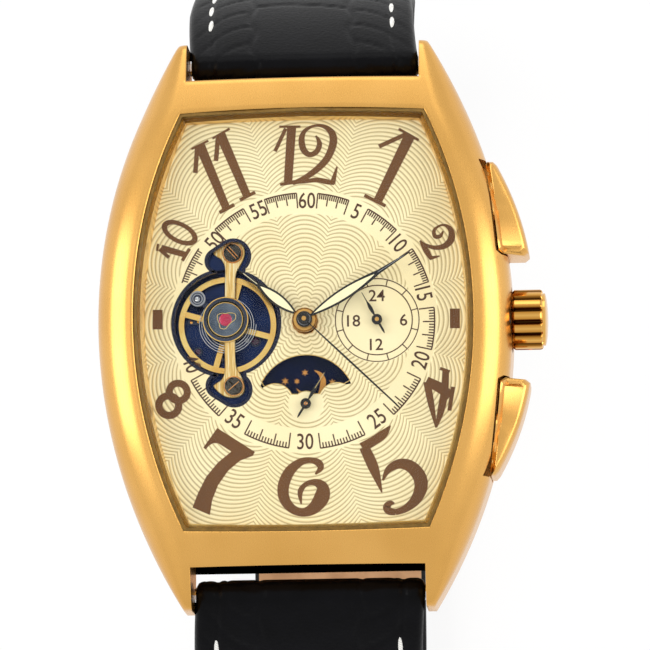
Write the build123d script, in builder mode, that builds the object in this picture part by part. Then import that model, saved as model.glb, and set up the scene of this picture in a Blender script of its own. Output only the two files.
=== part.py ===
from build123d import *
from math import atan2, cos, degrees, pi, radians, sin, sqrt, tan
import os

# Tonneau wristwatch on a closed leather strap, in millimetres.
# +Z points out of the dial, 12 o'clock lies towards +Y and the crown towards +X.
# The origin is the centre of the case back's outer face, under the axis of the hands.

# Case
case_width = 39.5
case_length = 54.6
case_side_radius = 51.6
end_wall_length = 46.8
case_height = 13.0
crown_along_radius = 75.0
crown_across_radius = 90.0
shoulder_chamfer = 1.7
shoulder_second_chamfer = 0.6
lug_side_gap = 0.2
lug_tip_radius = 0.6
lug_root_radius = 0.6
underside_chamfer = 0.8

# Opening over the dial
bezel_side_width = 3.6
bezel_end_width = 3.35
opening_side_radius = 47.0
opening_end_arch = 0.25

# Crystal, gasket and inner flange
crystal_proud = 0.12
crystal_thickness = 1.2
crystal_fit = 0.04
crystal_gasket_width = 0.3
flange_foot = 0.85
flange_rim = 0.45

# Dial
dial_top = 7.9
dial_thickness = 0.4
dial_step = 0.8
dial_fit = 0.05
centre_hole_radius = 1.25
day_hole_radius = 0.3
small_hole_radius = 0.3
subdial_depth = 0.06
day_dial_radius = 4.04
day_axis_x = 6.87
small_axis_y = -7.95

# Moon window
moon_window_radius = 4.72
moon_window_floor = 1.0
hump_radius = 1.76
hump_spread = 2.95
hump_drop = 0.3
hub_arc_radius = 1.28

# Open heart
balance_x = -7.53
window_radius = 4.96
window_margin = 0.34
bridge_screw_shift = 0.73
bridge_screw_reach = 6.42
lobe_radius = 1.42
hook_radius = 0.95
hook_shift = 1.5
hook_drop = 0.42
neck_width = 2.5

# Movement levels, each the height of a lower face above the case back
plate_radius = 13.4
plate_bottom = 5.0
plate_top = 7.3
holder_fit = 0.06
holder_wall_fit = 0.1
well_floor = 5.4
train_bridge_bottom = 2.35
train_bridge_thickness = 0.6
train_bridge_radius = 10.4
bridge_post_inset = 0.8
bridge_post_radius = 0.6
bridge_post_angles = (0, 150, 250)
running_gap = 0.05
face_gap = 0.02

# Balance
balance_rim_radius = 4.67
balance_rim_width = 0.52
balance_rim_bottom = 5.9
balance_rim_height = 0.4
spoke_width = 0.55
spoke_count = 4
spoke_angle = -16.0
staff_radius = 0.15
staff_bottom = 4.4
staff_top = 6.9
roller_radius = 0.7
roller_bottom = 4.72
roller_thickness = 0.15
collet_radius = 0.42
balance_hub_radius = 0.67
spring_inner_radius = 0.62
spring_pitch = 0.6
spring_turns = 3
spring_leaf = 0.07
spring_height = 0.14
spring_bottom = 6.5

# Balance bridge, regulator and jewel
bridge_bottom = 6.95
bridge_thickness = 0.35
bridge_arm_width = 0.98
bridge_head_radius = 1.16
bridge_flare = 1.5
bridge_bore_radius = 0.5
bridge_head_shares = (0.9, 0.4, 0.45, 0.9)
bridge_hook_share = 0.55
bridge_hub_share = 2.0
screw_slot_angle = -48.0
screw_head_radius = 0.87
screw_head_height = 0.3
screw_shank_radius = 0.4
screw_shank_length = 1.0
screw_slot_width = 0.2
screw_slot_depth = 0.15
index_outer_radius = 2.19
index_inner_radius = 1.84
index_thickness = 0.15
index_arm_width = 0.55
stud_arm_length = 3.35
stud_angle = 143.0
stud_ring_radius = 0.72
stud_pin_radius = 0.26
setting_radius = 1.82
setting_thickness = 0.2
setting_rim = 0.16
setting_recess = 0.08
jewel_radius = 0.6
jewel_height = 0.12

# Going train: tooth counts, lengths between the centres of meshing wheels, and levels
barrel_teeth = 44
intermediate_pinion_teeth = 8
intermediate_wheel_teeth = 36
centre_pinion_teeth = 10
centre_wheel_teeth = 48
third_pinion_teeth = 6
third_wheel_teeth = 45
fourth_pinion_teeth = 6
fourth_wheel_teeth = 42
escape_pinion_teeth = 6
escape_teeth = 15
intermediate_centre_length = 3.5
intermediate_angle = 100.0
barrel_centre_length = 4.94
barrel_angle = 75.0
third_centre_length = 3.2
third_angle = -40.0
escape_centre_length = 3.49
escape_angle = 207.0
wheel_thickness = 0.2
pinion_height = 0.36
arbor_radius = 0.2
fourth_wheel_level = 3.1
third_wheel_level = 3.5
centre_wheel_level = 3.95
intermediate_wheel_level = 4.4
barrel_height = 1.0
escape_level = 4.35
escape_wheel_radius = 1.35
escape_root_share = 0.74
escape_tooth_shares = (0.34, 0.5, 0.42)
addendum_share = 0.8
dedendum_share = 1.2
hub_radius = 0.4

# Pallet fork
fork_centre_length = 2.25
fork_angle = -37.0
fork_thickness = 0.18
fork_level = 4.45
fork_width = 0.3
fork_arm_reach = 0.95
fork_horn_reach = 1.25
fork_arm_angle = 68.0

# Motion work under the dial
day_gear_teeth = 32
hour_gear_teeth = 16
idler_gear_teeth = 11
motion_level = 6.75
motion_thickness = 0.22
motion_recess_gap = 0.12
hour_tube_radius = 1.05
cannon_radius = 0.62
centre_tube_radius = 0.42
seconds_arbor_radius = 0.22

# Hands
hour_hand_level = 8.75
minute_hand_level = 9.2
second_hand_level = 9.65
low_hand_level = 8.2
hand_thickness = 0.16
hub_height = 0.34
hour_hand_length = 8.1
hour_leaf_end = 5.5
minute_hand_length = 11.9
minute_leaf_end = 8.2
leaf_start = 0.95
leaf_width = 1.16
hand_tip_width = 0.12
main_hub_radius = 0.76
second_hand_length = 12.5
second_leaf_end = 11.5
second_hand_width = 0.2
second_hub_radius = 0.5
small_hub_radius = 0.5
day_hand_length = 3.0
day_hand_tail = 1.5
small_hand_length = 3.6
small_hand_tail = 1.55
small_leaf_width = 0.34
small_leaf_share = 0.9
hour_hub_share = 1.6
hour_hand_angle = 52.5
minute_hand_angle = -57.2
second_hand_angle = -132.3
day_hand_angle = 28.5
small_hand_angle = -31.7

# Moon disc
moon_disc_radius = 4.95
moon_disc_level = 7.08
moon_disc_thickness = 0.16
moon_recess_depth = 0.3

# Case back
back_thickness = 1.0
back_inset = 0.6
back_window_radius = 12.0
back_window_thickness = 0.85
back_window_seat = 0.5
back_screw_side_inset = 0.4
back_screw_end_inset = 5.05
back_screw_head_radius = 0.95
back_screw_head_height = 0.45
back_screw_radius = 0.5
back_screw_length = 2.6

# Rotor
rotor_level = 1.72
rotor_web_thickness = 0.3
rotor_rim_thickness = 1.4
rotor_radius = 12.6
rotor_rim_width = 1.9
rotor_hub_radius = 2.0
rotor_bearing_radius = 1.2

# Winding
stem_height = 6.0
stem_radius = 0.45
stem_inner_x = 13.7
crown_inset = 0.2
crown_length = 3.0
crown_cap_height = 0.55
crown_radius = 2.88
crown_flutes = 14
flute_depth = 0.25
crown_ridge_share = 0.3
crown_groove_share = 0.42
crown_edge = 0.25
crown_bore_radius = 1.5
crown_bore_depth = 2.0
crown_well_radius = 3.15
crown_well_depth = 0.95
crown_gasket_thickness = 0.35
tube_outer_radius = 1.1
tube_proud = 1.3
tube_length = 3.6
winding_pinion_x = 14.2
winding_pinion_length = 1.2
winding_pinion_radius = 0.85

# Pushers
pusher_tip_y = 15.1
pusher_heel_y = 5.9
pusher_inner_depth = 1.55
pusher_tip_proud = 0.25
pusher_heel_proud = 1.75
pusher_bottom = 3.2
pusher_height = 5.5
pusher_round = 0.55
pusher_gap = 0.1
pusher_travel = 0.6
pusher_stem_radius = 0.55
pusher_stem_length = 2.9
pusher_stem_share = 0.42
pusher_middle_share = 0.72
pusher_end_depth_share = 0.5

# Spring bars and strap
bar_y = 25.6
bar_z = 3.2
bar_radius = 0.75
bar_pin_radius = 0.4
bar_pin_length = 0.7
bar_hole_depth = 0.9
strap_end_radius = 1.5
strap_width = 21.9
strap_taper_share = 0.84
strap_start_angle = 44.4
strap_side_radius = 47.0
strap_bend_radius = 16.0
strap_thickness = 2.2
strap_layer_gap = 0.1
strap_tail_length = 18.0
strap_hole_radius = 0.95
strap_hole_pitch = 6.0
strap_hole_count = 5
strap_bar_gap = 0.06

# Buckle and keepers
buckle_bar_y = 3.0
buckle_bar_radius = 0.75
buckle_loop_radius = 1.15
buckle_reach = 11.6
buckle_side = 1.6
buckle_side_gap = 0.35
buckle_eye_radius = 1.5
cross_bar_width = 2.4
cross_bar_thickness = 1.45
cross_bar_gap = 0.1
tongue_width = 1.6
tongue_thickness = 0.7
tongue_slot_gap = 0.3
tongue_notch_gap = 0.12
tongue_leg_y = -2.9
tongue_eye_wall = 0.36
keeper_gap = 0.3
keeper_thickness = 1.25
keeper_width = 3.2
fixed_keeper_y = 7.6
loose_keeper_y = 14.2

# Overrun of every cut
cut = 1.0

# Sides of small and of large round features, and steps of the crystal's curve across
small_sides = 12
large_sides = 32
crown_steps = 4

os.makedirs("parts", exist_ok=True)

case_half = case_width / 2
lug_half = case_length / 2
wall_half = end_wall_length / 2
opening_half = case_half - bezel_side_width
opening_end = wall_half - bezel_end_width
lug_gap = strap_width + 2 * lug_side_gap
strap_buckle_width = strap_width * strap_taper_share
crown_inner_x = case_half - crown_inset
back_screw_x = opening_half - back_screw_side_inset
back_screw_y = opening_end - back_screw_end_inset
case_bottom = back_thickness
dial_bottom = dial_top - dial_thickness


def keep(part, name):
    """Label a finished piece and write its file."""
    part.part.label = name
    export_step(part.part, f"parts/{name}.step")


def barrel_face(half_width, side_radius, half_length, arch):
    """Tonneau outline: two bowed sides joined by straight or slightly arched ends."""
    corner = half_width - side_radius + sqrt(side_radius**2 - half_length**2)
    with BuildSketch() as outline:
        with BuildLine():
            ThreePointArc((corner, -half_length), (half_width, 0), (corner, half_length))
            ThreePointArc((-corner, half_length), (-half_width, 0), (-corner, -half_length))
            if arch > 0:
                ThreePointArc((corner, half_length), (0, half_length + arch), (-corner, half_length))
                ThreePointArc((-corner, -half_length), (0, -half_length - arch), (corner, -half_length))
            else:
                Line((corner, half_length), (-corner, half_length))
                Line((-corner, -half_length), (corner, -half_length))
        make_face()
    return outline.sketch


def opening_face(grow):
    """Outline of the opening over the dial, grown outwards by an amount."""
    return barrel_face(
        opening_half + grow,
        opening_side_radius + grow,
        opening_end + grow,
        opening_end_arch,
    )


def crown_height(x, apex):
    """Height of the bezel's surface above the middle line, a distance x across."""
    return apex - crown_across_radius + sqrt(crown_across_radius**2 - x**2)


def crowned_solid(apex, steps):
    """Solid below the bezel's double curved surface, whose highest point is at apex.

    With no steps the curve across is an arc, otherwise that many straight steps.
    """
    half = case_half + cut
    axis = apex - crown_along_radius
    edge = crown_height(half, apex)
    with BuildPart() as dome:
        with BuildSketch(Plane.XZ):
            with BuildLine():
                Polyline((-half, edge), (-half, axis), (half, axis), (half, edge))
                if steps > 0:
                    places = [half - 2 * half * index / steps for index in range(steps + 1)]
                    Polyline(*[(x, crown_height(x, apex)) for x in places])
                else:
                    ThreePointArc((half, edge), (0, apex), (-half, edge))
            make_face()
        revolve(axis=Axis((0, 0, axis), (1, 0, 0)))
    return dome.part


def gear_face(teeth, module, phase):
    """Toothed outline with pointed teeth, one of them centred on the phase angle."""
    pitch = teeth * module / 2
    root = pitch - dedendum_share * module
    tip = pitch + addendum_share * module
    points = []
    for tooth in range(teeth):
        points.append(polar(tip, phase + tooth * 360 / teeth))
        points.append(polar(root, phase + (tooth + 0.5) * 360 / teeth))
    with BuildSketch() as outline:
        with BuildLine():
            Polyline(*points, close=True)
        make_face()
    return outline.sketch


def polar(distance, angle):
    """Point at a distance and an angle in degrees."""
    return distance * cos(radians(angle)), distance * sin(radians(angle))


def meshing_phase(angle, teeth):
    """Phase that puts a gap of the second gear where the first gear's tooth points."""
    return angle + 180 + 180 / teeth


# Case body
crown_dome = crowned_solid(case_height, 0)
case_top = case_height + cut
opening = opening_face(0)
cavity = opening_face(dial_step)
case_outline = barrel_face(case_half, case_side_radius, lug_half, 0)
lug_inner = lug_gap / 2
lug_length = lug_half - wall_half

with BuildPart() as case_body:
    with BuildSketch(Plane.XY.offset(case_bottom)):
        add(case_outline)
    extrude(amount=case_top - case_bottom)
    add(crown_dome, mode=Mode.INTERSECT)
    for size in (shoulder_chamfer, shoulder_second_chamfer):
        shoulders = [
            e
            for e in case_body.edges()
            if e.bounding_box().size.Y > lug_half and e.center().Z > case_height / 3
        ]
        chamfer(shoulders, length=size)
    undersides = [
        e
        for e in case_body.edges()
        if e.bounding_box().size.Y > lug_half and e.bounding_box().max.Z < case_height / 4
    ]
    chamfer(undersides, length=underside_chamfer)
    with BuildSketch(Plane.XY.offset(case_bottom - cut)):
        add(case_outline)
        with Locations((0, wall_half + lug_length), (0, -wall_half - lug_length)):
            Rectangle(lug_gap, 2 * lug_length, mode=Mode.SUBTRACT)
        tips = [v for v in vertices() if abs(v.Y) > lug_half - face_gap and abs(v.X) > lug_inner + face_gap]
        fillet(tips, radius=lug_tip_radius)
        roots = [v for v in vertices() if abs(v.Y) < wall_half + face_gap]
        fillet(roots, radius=lug_root_radius)
    extrude(amount=case_top + cut, mode=Mode.INTERSECT)
    with BuildSketch(Plane.XY.offset(dial_bottom)):
        add(opening)
    extrude(amount=case_top - dial_bottom, mode=Mode.SUBTRACT)
    with BuildSketch(Plane.XY.offset(case_bottom - cut)):
        add(cavity)
    extrude(amount=dial_top - case_bottom + cut, mode=Mode.SUBTRACT)
    with BuildSketch(Plane.YZ.offset(case_half - crown_well_depth)):
        with Locations((0, stem_height)):
            RegularPolygon(crown_well_radius, large_sides)
    extrude(amount=crown_well_depth + cut, mode=Mode.SUBTRACT)
    with BuildSketch(Plane.YZ.offset(opening_half)):
        with Locations((0, stem_height)):
            RegularPolygon(tube_outer_radius, small_sides)
    extrude(amount=case_half, mode=Mode.SUBTRACT)
    with BuildSketch(Plane.YZ.offset(-lug_inner - bar_hole_depth)):
        with Locations((bar_y, bar_z), (-bar_y, bar_z)):
            RegularPolygon(bar_pin_radius + running_gap, small_sides)
    extrude(amount=lug_gap + 2 * bar_hole_depth, mode=Mode.SUBTRACT)
    with BuildSketch(Plane.XY.offset(case_bottom - cut)):
        with GridLocations(2 * back_screw_x, 2 * back_screw_y, 2, 2):
            RegularPolygon(back_screw_radius + face_gap, small_sides)
    extrude(amount=back_screw_length - back_thickness + face_gap + cut, mode=Mode.SUBTRACT)


# Pushers: each is a wedge that follows the flank, thick at its heel beside the crown
def flank_x(y):
    """Distance of the case's flank from the middle at a place along its length."""
    return case_half - case_side_radius + sqrt(case_side_radius**2 - y**2)


def pusher_face(grow, travel, side):
    """Plan outline of a pusher, grown all round and stretched inwards by its travel."""
    tip_y = pusher_tip_y + grow
    heel_y = pusher_heel_y - grow
    middle_y = (tip_y + heel_y) / 2
    end_depth = pusher_inner_depth * pusher_end_depth_share + grow + travel
    inner_tip = (flank_x(tip_y) - end_depth, side * tip_y)
    inner_middle = (flank_x(middle_y) - pusher_inner_depth - grow - travel, side * middle_y)
    inner_heel = (flank_x(heel_y) - end_depth, side * heel_y)
    outer_heel = (flank_x(heel_y) + pusher_heel_proud + grow, side * heel_y)
    outer_middle = (flank_x(middle_y) + pusher_heel_proud * pusher_middle_share + grow, side * middle_y)
    outer_tip = (flank_x(tip_y) + pusher_tip_proud + grow, side * tip_y)
    with BuildSketch() as outline:
        with BuildLine():
            ThreePointArc(inner_tip, inner_middle, inner_heel)
            Line(inner_heel, outer_heel)
            ThreePointArc(outer_heel, outer_middle, outer_tip)
            Line(outer_tip, inner_tip)
        make_face()
        fillet(outline.vertices(), radius=pusher_round)
    return outline.sketch


pusher_centre_y = pusher_heel_y + pusher_stem_share * (pusher_tip_y - pusher_heel_y)
pusher_centre_z = pusher_bottom + pusher_height / 2
pusher_stem_x = flank_x(pusher_centre_y) - pusher_inner_depth
for side in (1, -1):
    with BuildPart() as pusher_pocket:
        with BuildSketch(Plane.XY.offset(pusher_bottom - pusher_gap)):
            add(pusher_face(pusher_gap, pusher_travel, side))
        extrude(amount=pusher_height + 2 * pusher_gap)
        with BuildSketch(Plane.YZ.offset(opening_half - cut)):
            with Locations((side * pusher_centre_y, pusher_centre_z)):
                RegularPolygon(pusher_stem_radius + running_gap, small_sides)
        extrude(amount=pusher_stem_x - opening_half + cut)
    with BuildPart() as cut_case:
        add(case_body.part)
        add(pusher_pocket.part, mode=Mode.SUBTRACT)
    case_body = cut_case
    with BuildPart() as pusher:
        with BuildSketch(Plane.XY.offset(pusher_bottom)):
            add(pusher_face(0, 0, side))
        extrude(amount=pusher_height)
        with BuildSketch(Plane.YZ.offset(pusher_stem_x - pusher_stem_length)):
            with Locations((side * pusher_centre_y, pusher_centre_z)):
                RegularPolygon(pusher_stem_radius, small_sides)
        extrude(amount=pusher_stem_length + pusher_inner_depth)
    keep(pusher, "pusher_upper" if side > 0 else "pusher_lower")
keep(case_body, "case_body")

# Crystal: a slice between two copies of the bezel's surface
crystal_top = case_height + crystal_proud
crystal_bottom = crystal_top - crystal_thickness
with BuildPart() as crystal:
    with BuildSketch(Plane.XY.offset(dial_top)):
        add(opening_face(-crystal_fit - crystal_gasket_width))
    extrude(amount=case_top - dial_top)
    add(crowned_solid(crystal_top, crown_steps), mode=Mode.INTERSECT)
    add(crowned_solid(crystal_bottom, crown_steps), mode=Mode.SUBTRACT)
keep(crystal, "crystal")

# Gasket pressed between the crystal's edge and the bezel
with BuildPart() as crystal_gasket:
    with BuildSketch(Plane.XY.offset(dial_top)):
        add(opening_face(-crystal_fit))
        add(opening_face(-crystal_gasket_width), mode=Mode.SUBTRACT)
    extrude(amount=case_top - dial_top)
    add(crowned_solid(case_height - crystal_proud, crown_steps), mode=Mode.INTERSECT)
    add(crowned_solid(crystal_bottom, crown_steps), mode=Mode.SUBTRACT)
keep(crystal_gasket, "crystal_gasket")

# Inner flange between the dial and the crystal, with sloping polished walls
with BuildPart() as inner_flange:
    with BuildSketch(Plane.XY.offset(dial_top)):
        add(opening_face(-crystal_fit))
    extrude(amount=case_top - dial_top)
    add(crowned_solid(crystal_bottom, crown_steps), mode=Mode.INTERSECT)
    with BuildSketch(Plane.XY.offset(dial_top)):
        add(opening_face(-flange_foot))
    with BuildSketch(Plane.XY.offset(crystal_bottom)):
        add(opening_face(-flange_rim))
    loft(ruled=True, mode=Mode.SUBTRACT)
keep(inner_flange, "inner_flange")


# Dial
def window_face(grow):
    """Outline of the open heart window: a round with two comma shaped lobes."""
    with BuildSketch() as lobe:
        with Locations((bridge_screw_shift, bridge_screw_reach)):
            Circle(lobe_radius + grow)
        with Locations((bridge_screw_shift - hook_shift, bridge_screw_reach - hook_drop)):
            Circle(hook_radius + grow)
        make_hull()
    with BuildSketch() as outline:
        RegularPolygon(window_radius + grow, 2 * large_sides)
        add(lobe.sketch)
        add(lobe.sketch.mirror(Plane.XZ))
        with Locations((bridge_screw_shift / 2, 0)):
            Rectangle(neck_width + 2 * grow, 2 * (bridge_screw_reach - hook_drop))
    return outline.sketch


moon_floor_y = small_axis_y + moon_window_floor
with BuildPart() as dial:
    with BuildSketch(Plane.XY.offset(dial_bottom)):
        add(opening_face(dial_step - dial_fit))
        RegularPolygon(centre_hole_radius, small_sides, mode=Mode.SUBTRACT)
        with Locations((day_axis_x, 0)):
            RegularPolygon(day_hole_radius, small_sides, mode=Mode.SUBTRACT)
        with Locations((0, small_axis_y)):
            RegularPolygon(small_hole_radius, small_sides, mode=Mode.SUBTRACT)
        with Locations((balance_x, 0)):
            add(window_face(0), mode=Mode.SUBTRACT)
    extrude(amount=dial_thickness)
    with BuildSketch(Plane.XY.offset(dial_bottom - cut)):
        with Locations((0, small_axis_y)):
            RegularPolygon(moon_window_radius, 2 * large_sides)
        with Locations((0, moon_floor_y - moon_window_radius)):
            Rectangle(2 * moon_window_radius, 2 * moon_window_radius, mode=Mode.SUBTRACT)
        with Locations(
            (hump_spread, small_axis_y + hump_drop),
            (-hump_spread, small_axis_y + hump_drop),
        ):
            RegularPolygon(hump_radius, large_sides, mode=Mode.SUBTRACT)
        with Locations((0, small_axis_y)):
            RegularPolygon(hub_arc_radius, large_sides, mode=Mode.SUBTRACT)
    extrude(amount=dial_thickness + 2 * cut, mode=Mode.SUBTRACT)
    with BuildSketch(Plane.XY.offset(dial_top - subdial_depth)):
        with Locations((day_axis_x, 0)):
            RegularPolygon(day_dial_radius, 2 * large_sides)
    extrude(amount=cut, mode=Mode.SUBTRACT)
keep(dial, "dial")


# Hands, each drawn pointing to 12 and then turned to the time that it shows
def hand_face(length, start, end, width, hub, tail):
    """Leaf hand: a lens from start to end, a tapering tip, a hub and a tail."""
    half_tip = hand_tip_width / 2
    with BuildSketch() as outline:
        RegularPolygon(hub, small_sides)
        with BuildLine():
            ThreePointArc((half_tip, start), (width / 2, (start + end) / 2), (half_tip, end))
            Polyline((half_tip, end), (half_tip / 2, length), (-half_tip / 2, length), (-half_tip, end))
            ThreePointArc((-half_tip, end), (-width / 2, (start + end) / 2), (-half_tip, start))
            Line((-half_tip, start), (half_tip, start))
        make_face()
        with Locations((0, (start - tail) / 2)):
            Rectangle(2 * hand_tip_width, start + tail)
    return outline.sketch


def build_hand(name, centre, level, angle, face, hub, bore):
    """Flat hand with a raised hub, bored for its arbor."""
    x, y = centre
    plane = Plane((x, y, level)).rotated((0, 0, angle))
    with BuildPart() as hand:
        with BuildSketch(plane):
            add(face)
        extrude(amount=hand_thickness)
        with BuildSketch(plane):
            RegularPolygon(hub, small_sides)
        extrude(amount=hub_height)
        if bore > 0:
            with BuildSketch(Plane((x, y, level - cut))):
                RegularPolygon(bore, small_sides)
            extrude(amount=hub_height + 2 * cut, mode=Mode.SUBTRACT)
    keep(hand, name)


hour_hub_radius = main_hub_radius * hour_hub_share
hour_face = hand_face(hour_hand_length, leaf_start, hour_leaf_end, leaf_width, hour_hub_radius, 0)
build_hand(
    "hour_hand",
    (0, 0),
    hour_hand_level,
    hour_hand_angle,
    hour_face,
    hour_hub_radius,
    hour_tube_radius,
)
minute_face = hand_face(minute_hand_length, leaf_start, minute_leaf_end, leaf_width, main_hub_radius, 0)
build_hand(
    "minute_hand",
    (0, 0),
    minute_hand_level,
    minute_hand_angle,
    minute_face,
    main_hub_radius,
    cannon_radius,
)
second_face = hand_face(
    second_hand_length,
    second_hub_radius / 2,
    second_leaf_end,
    second_hand_width,
    second_hub_radius,
    0,
)
build_hand(
    "second_hand",
    (0, 0),
    second_hand_level,
    second_hand_angle,
    second_face,
    second_hub_radius,
    seconds_arbor_radius,
)
day_face = hand_face(
    day_hand_length,
    small_hub_radius / 2,
    day_hand_length * small_leaf_share,
    small_leaf_width,
    small_hub_radius,
    day_hand_tail,
)
day_bore = arbor_radius
build_hand("day_hand", (day_axis_x, 0), low_hand_level, day_hand_angle, day_face, small_hub_radius, day_bore)
small_face = hand_face(
    small_hand_length,
    small_hub_radius / 2,
    small_hand_length * small_leaf_share,
    small_leaf_width,
    small_hub_radius,
    small_hand_tail,
)
build_hand("small_hand", (0, small_axis_y), low_hand_level, small_hand_angle, small_face, small_hub_radius, 0)

# Moon disc: a round plate with a short bored hub
with BuildPart() as moon_disc:
    with BuildSketch(Plane.XY.offset(moon_disc_level)):
        with Locations((0, small_axis_y)):
            RegularPolygon(moon_disc_radius, 2 * large_sides)
            RegularPolygon(small_hole_radius, small_sides, mode=Mode.SUBTRACT)
    extrude(amount=moon_disc_thickness)
keep(moon_disc, "moon_disc")

# Main plate with the balance well, the bridge seats and the recesses under the dial
day_module = 2 * day_axis_x / (hour_gear_teeth + 2 * idler_gear_teeth + day_gear_teeth)
hour_gear_radius = hour_gear_teeth * day_module / 2
idler_x = (hour_gear_teeth + idler_gear_teeth) * day_module / 2
idler_radius = idler_gear_teeth * day_module / 2
day_gear_radius = day_gear_teeth * day_module / 2
gear_margin = addendum_share * day_module + motion_recess_gap
intermediate_x, intermediate_y = polar(intermediate_centre_length, intermediate_angle)
barrel_dx, barrel_dy = polar(barrel_centre_length, barrel_angle)
barrel_x = intermediate_x + barrel_dx
barrel_y = intermediate_y + barrel_dy
third_x, third_y = polar(third_centre_length, third_angle)
escape_x, escape_y = polar(escape_centre_length, escape_angle)
fork_dx, fork_dy = polar(fork_centre_length, fork_angle)
fork_x = balance_x + fork_dx
fork_y = fork_dy
plate_thickness = plate_top - plate_bottom
train_bridge_top = train_bridge_bottom + train_bridge_thickness

with BuildPart() as main_plate:
    with BuildSketch(Plane.XY.offset(plate_bottom)):
        RegularPolygon(plate_radius, large_sides)
    extrude(amount=plate_thickness)
    with BuildSketch(Plane.XY.offset(well_floor)):
        with Locations((balance_x, 0)):
            RegularPolygon(window_radius + window_margin, large_sides)
    extrude(amount=plate_thickness, mode=Mode.SUBTRACT)
    with BuildSketch(Plane.XY.offset(bridge_bottom)):
        with Locations((balance_x, 0)):
            add(window_face(window_margin / 2))
    extrude(amount=plate_thickness, mode=Mode.SUBTRACT)
    with BuildSketch(Plane.XY.offset(motion_level - motion_recess_gap)):
        RegularPolygon(hour_gear_radius + gear_margin, small_sides)
        with Locations((idler_x, 0)):
            RegularPolygon(idler_radius + gear_margin, small_sides)
        with Locations((day_axis_x, 0)):
            RegularPolygon(day_gear_radius + gear_margin, small_sides)
    extrude(amount=plate_thickness, mode=Mode.SUBTRACT)
    with BuildSketch(Plane.XY.offset(plate_top - moon_recess_depth)):
        with Locations((0, small_axis_y)):
            RegularPolygon(moon_disc_radius + motion_recess_gap, large_sides)
    extrude(amount=plate_thickness, mode=Mode.SUBTRACT)
    with BuildSketch(Plane.XY.offset(plate_bottom - cut)):
        RegularPolygon(cannon_radius + running_gap, small_sides)
        with Locations((balance_x, 0)):
            RegularPolygon(roller_radius + 2 * running_gap, small_sides)
        with Locations((balance_x + bridge_screw_shift, bridge_screw_reach)):
            RegularPolygon(screw_shank_radius + face_gap, small_sides)
        with Locations((balance_x + bridge_screw_shift, -bridge_screw_reach)):
            RegularPolygon(screw_shank_radius + face_gap, small_sides)
        with Locations((idler_x, 0), (day_axis_x, 0), (0, small_axis_y)):
            RegularPolygon(arbor_radius + running_gap, small_sides)
        with Locations((third_x, third_y), (escape_x, escape_y), (fork_x, fork_y)):
            RegularPolygon(arbor_radius + running_gap, small_sides)
        with Locations((intermediate_x, intermediate_y), (barrel_x, barrel_y)):
            RegularPolygon(arbor_radius + running_gap, small_sides)
    extrude(amount=plate_thickness + 2 * cut, mode=Mode.SUBTRACT)
keep(main_plate, "main_plate")

# Movement holder between the round movement and the barrel shaped case
holder_bottom = case_bottom + face_gap
with BuildPart() as movement_holder:
    with BuildSketch(Plane.XY.offset(holder_bottom)):
        add(opening_face(dial_step - holder_wall_fit))
        RegularPolygon(plate_radius + holder_fit, large_sides, mode=Mode.SUBTRACT)
    extrude(amount=dial_bottom - holder_bottom)
    with BuildSketch(Plane.YZ):
        with Locations(
            (0, stem_height),
            (pusher_centre_y, pusher_centre_z),
            (-pusher_centre_y, pusher_centre_z),
        ):
            RegularPolygon(tube_outer_radius + running_gap, small_sides)
    extrude(amount=case_width, mode=Mode.SUBTRACT)
keep(movement_holder, "movement_holder")

# Train bridge under the wheels, with a bored post for each arbor
with BuildPart() as train_bridge:
    with BuildSketch(Plane.XY.offset(train_bridge_bottom)):
        RegularPolygon(train_bridge_radius, large_sides)
    extrude(amount=train_bridge_thickness)
    with BuildSketch(Plane.XY.offset(train_bridge_top)):
        post_reach = train_bridge_radius - bridge_post_inset
        with Locations(*[polar(post_reach, angle) for angle in bridge_post_angles]):
            RegularPolygon(bridge_post_radius, small_sides)
    extrude(amount=plate_bottom - train_bridge_top)
    with BuildSketch(Plane.XY.offset(train_bridge_bottom - cut)):
        RegularPolygon(seconds_arbor_radius + running_gap, small_sides)
        with Locations((third_x, third_y), (escape_x, escape_y), (fork_x, fork_y)):
            RegularPolygon(arbor_radius + running_gap, small_sides)
        with Locations((intermediate_x, intermediate_y), (barrel_x, barrel_y)):
            RegularPolygon(arbor_radius + running_gap, small_sides)
    extrude(amount=train_bridge_thickness + 2 * cut, mode=Mode.SUBTRACT)
keep(train_bridge, "train_bridge")

# Going train
barrel_module = 2 * barrel_centre_length / (barrel_teeth + intermediate_pinion_teeth)
intermediate_module = 2 * intermediate_centre_length / (intermediate_wheel_teeth + centre_pinion_teeth)
third_pinion_module = 2 * third_centre_length / (centre_wheel_teeth + third_pinion_teeth)
third_wheel_module = 2 * third_centre_length / (third_wheel_teeth + fourth_pinion_teeth)
escape_module = 2 * escape_centre_length / (fourth_wheel_teeth + escape_pinion_teeth)
arbor_bottom = train_bridge_bottom + face_gap
arbor_top = plate_bottom + (well_floor - plate_bottom) / 2


def build_wheel(name, centre, wheels, arbor, arbor_ends, bore):
    """Toothed discs on one arbor. Each disc is a face, a level and a height."""
    x, y = centre
    with BuildPart() as wheel:
        for face, level, height in wheels:
            with BuildSketch(Plane.XY.offset(level)):
                with Locations((x, y)):
                    add(face)
            extrude(amount=height)
        with BuildSketch(Plane.XY.offset(arbor_ends[0])):
            with Locations((x, y)):
                RegularPolygon(arbor, small_sides)
        extrude(amount=arbor_ends[1] - arbor_ends[0])
        if bore > 0:
            with BuildSketch(Plane.XY.offset(arbor_ends[0] - cut)):
                with Locations((x, y)):
                    RegularPolygon(bore, small_sides)
            extrude(amount=arbor_ends[1] - arbor_ends[0] + 2 * cut, mode=Mode.SUBTRACT)
    keep(wheel, name)


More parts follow.
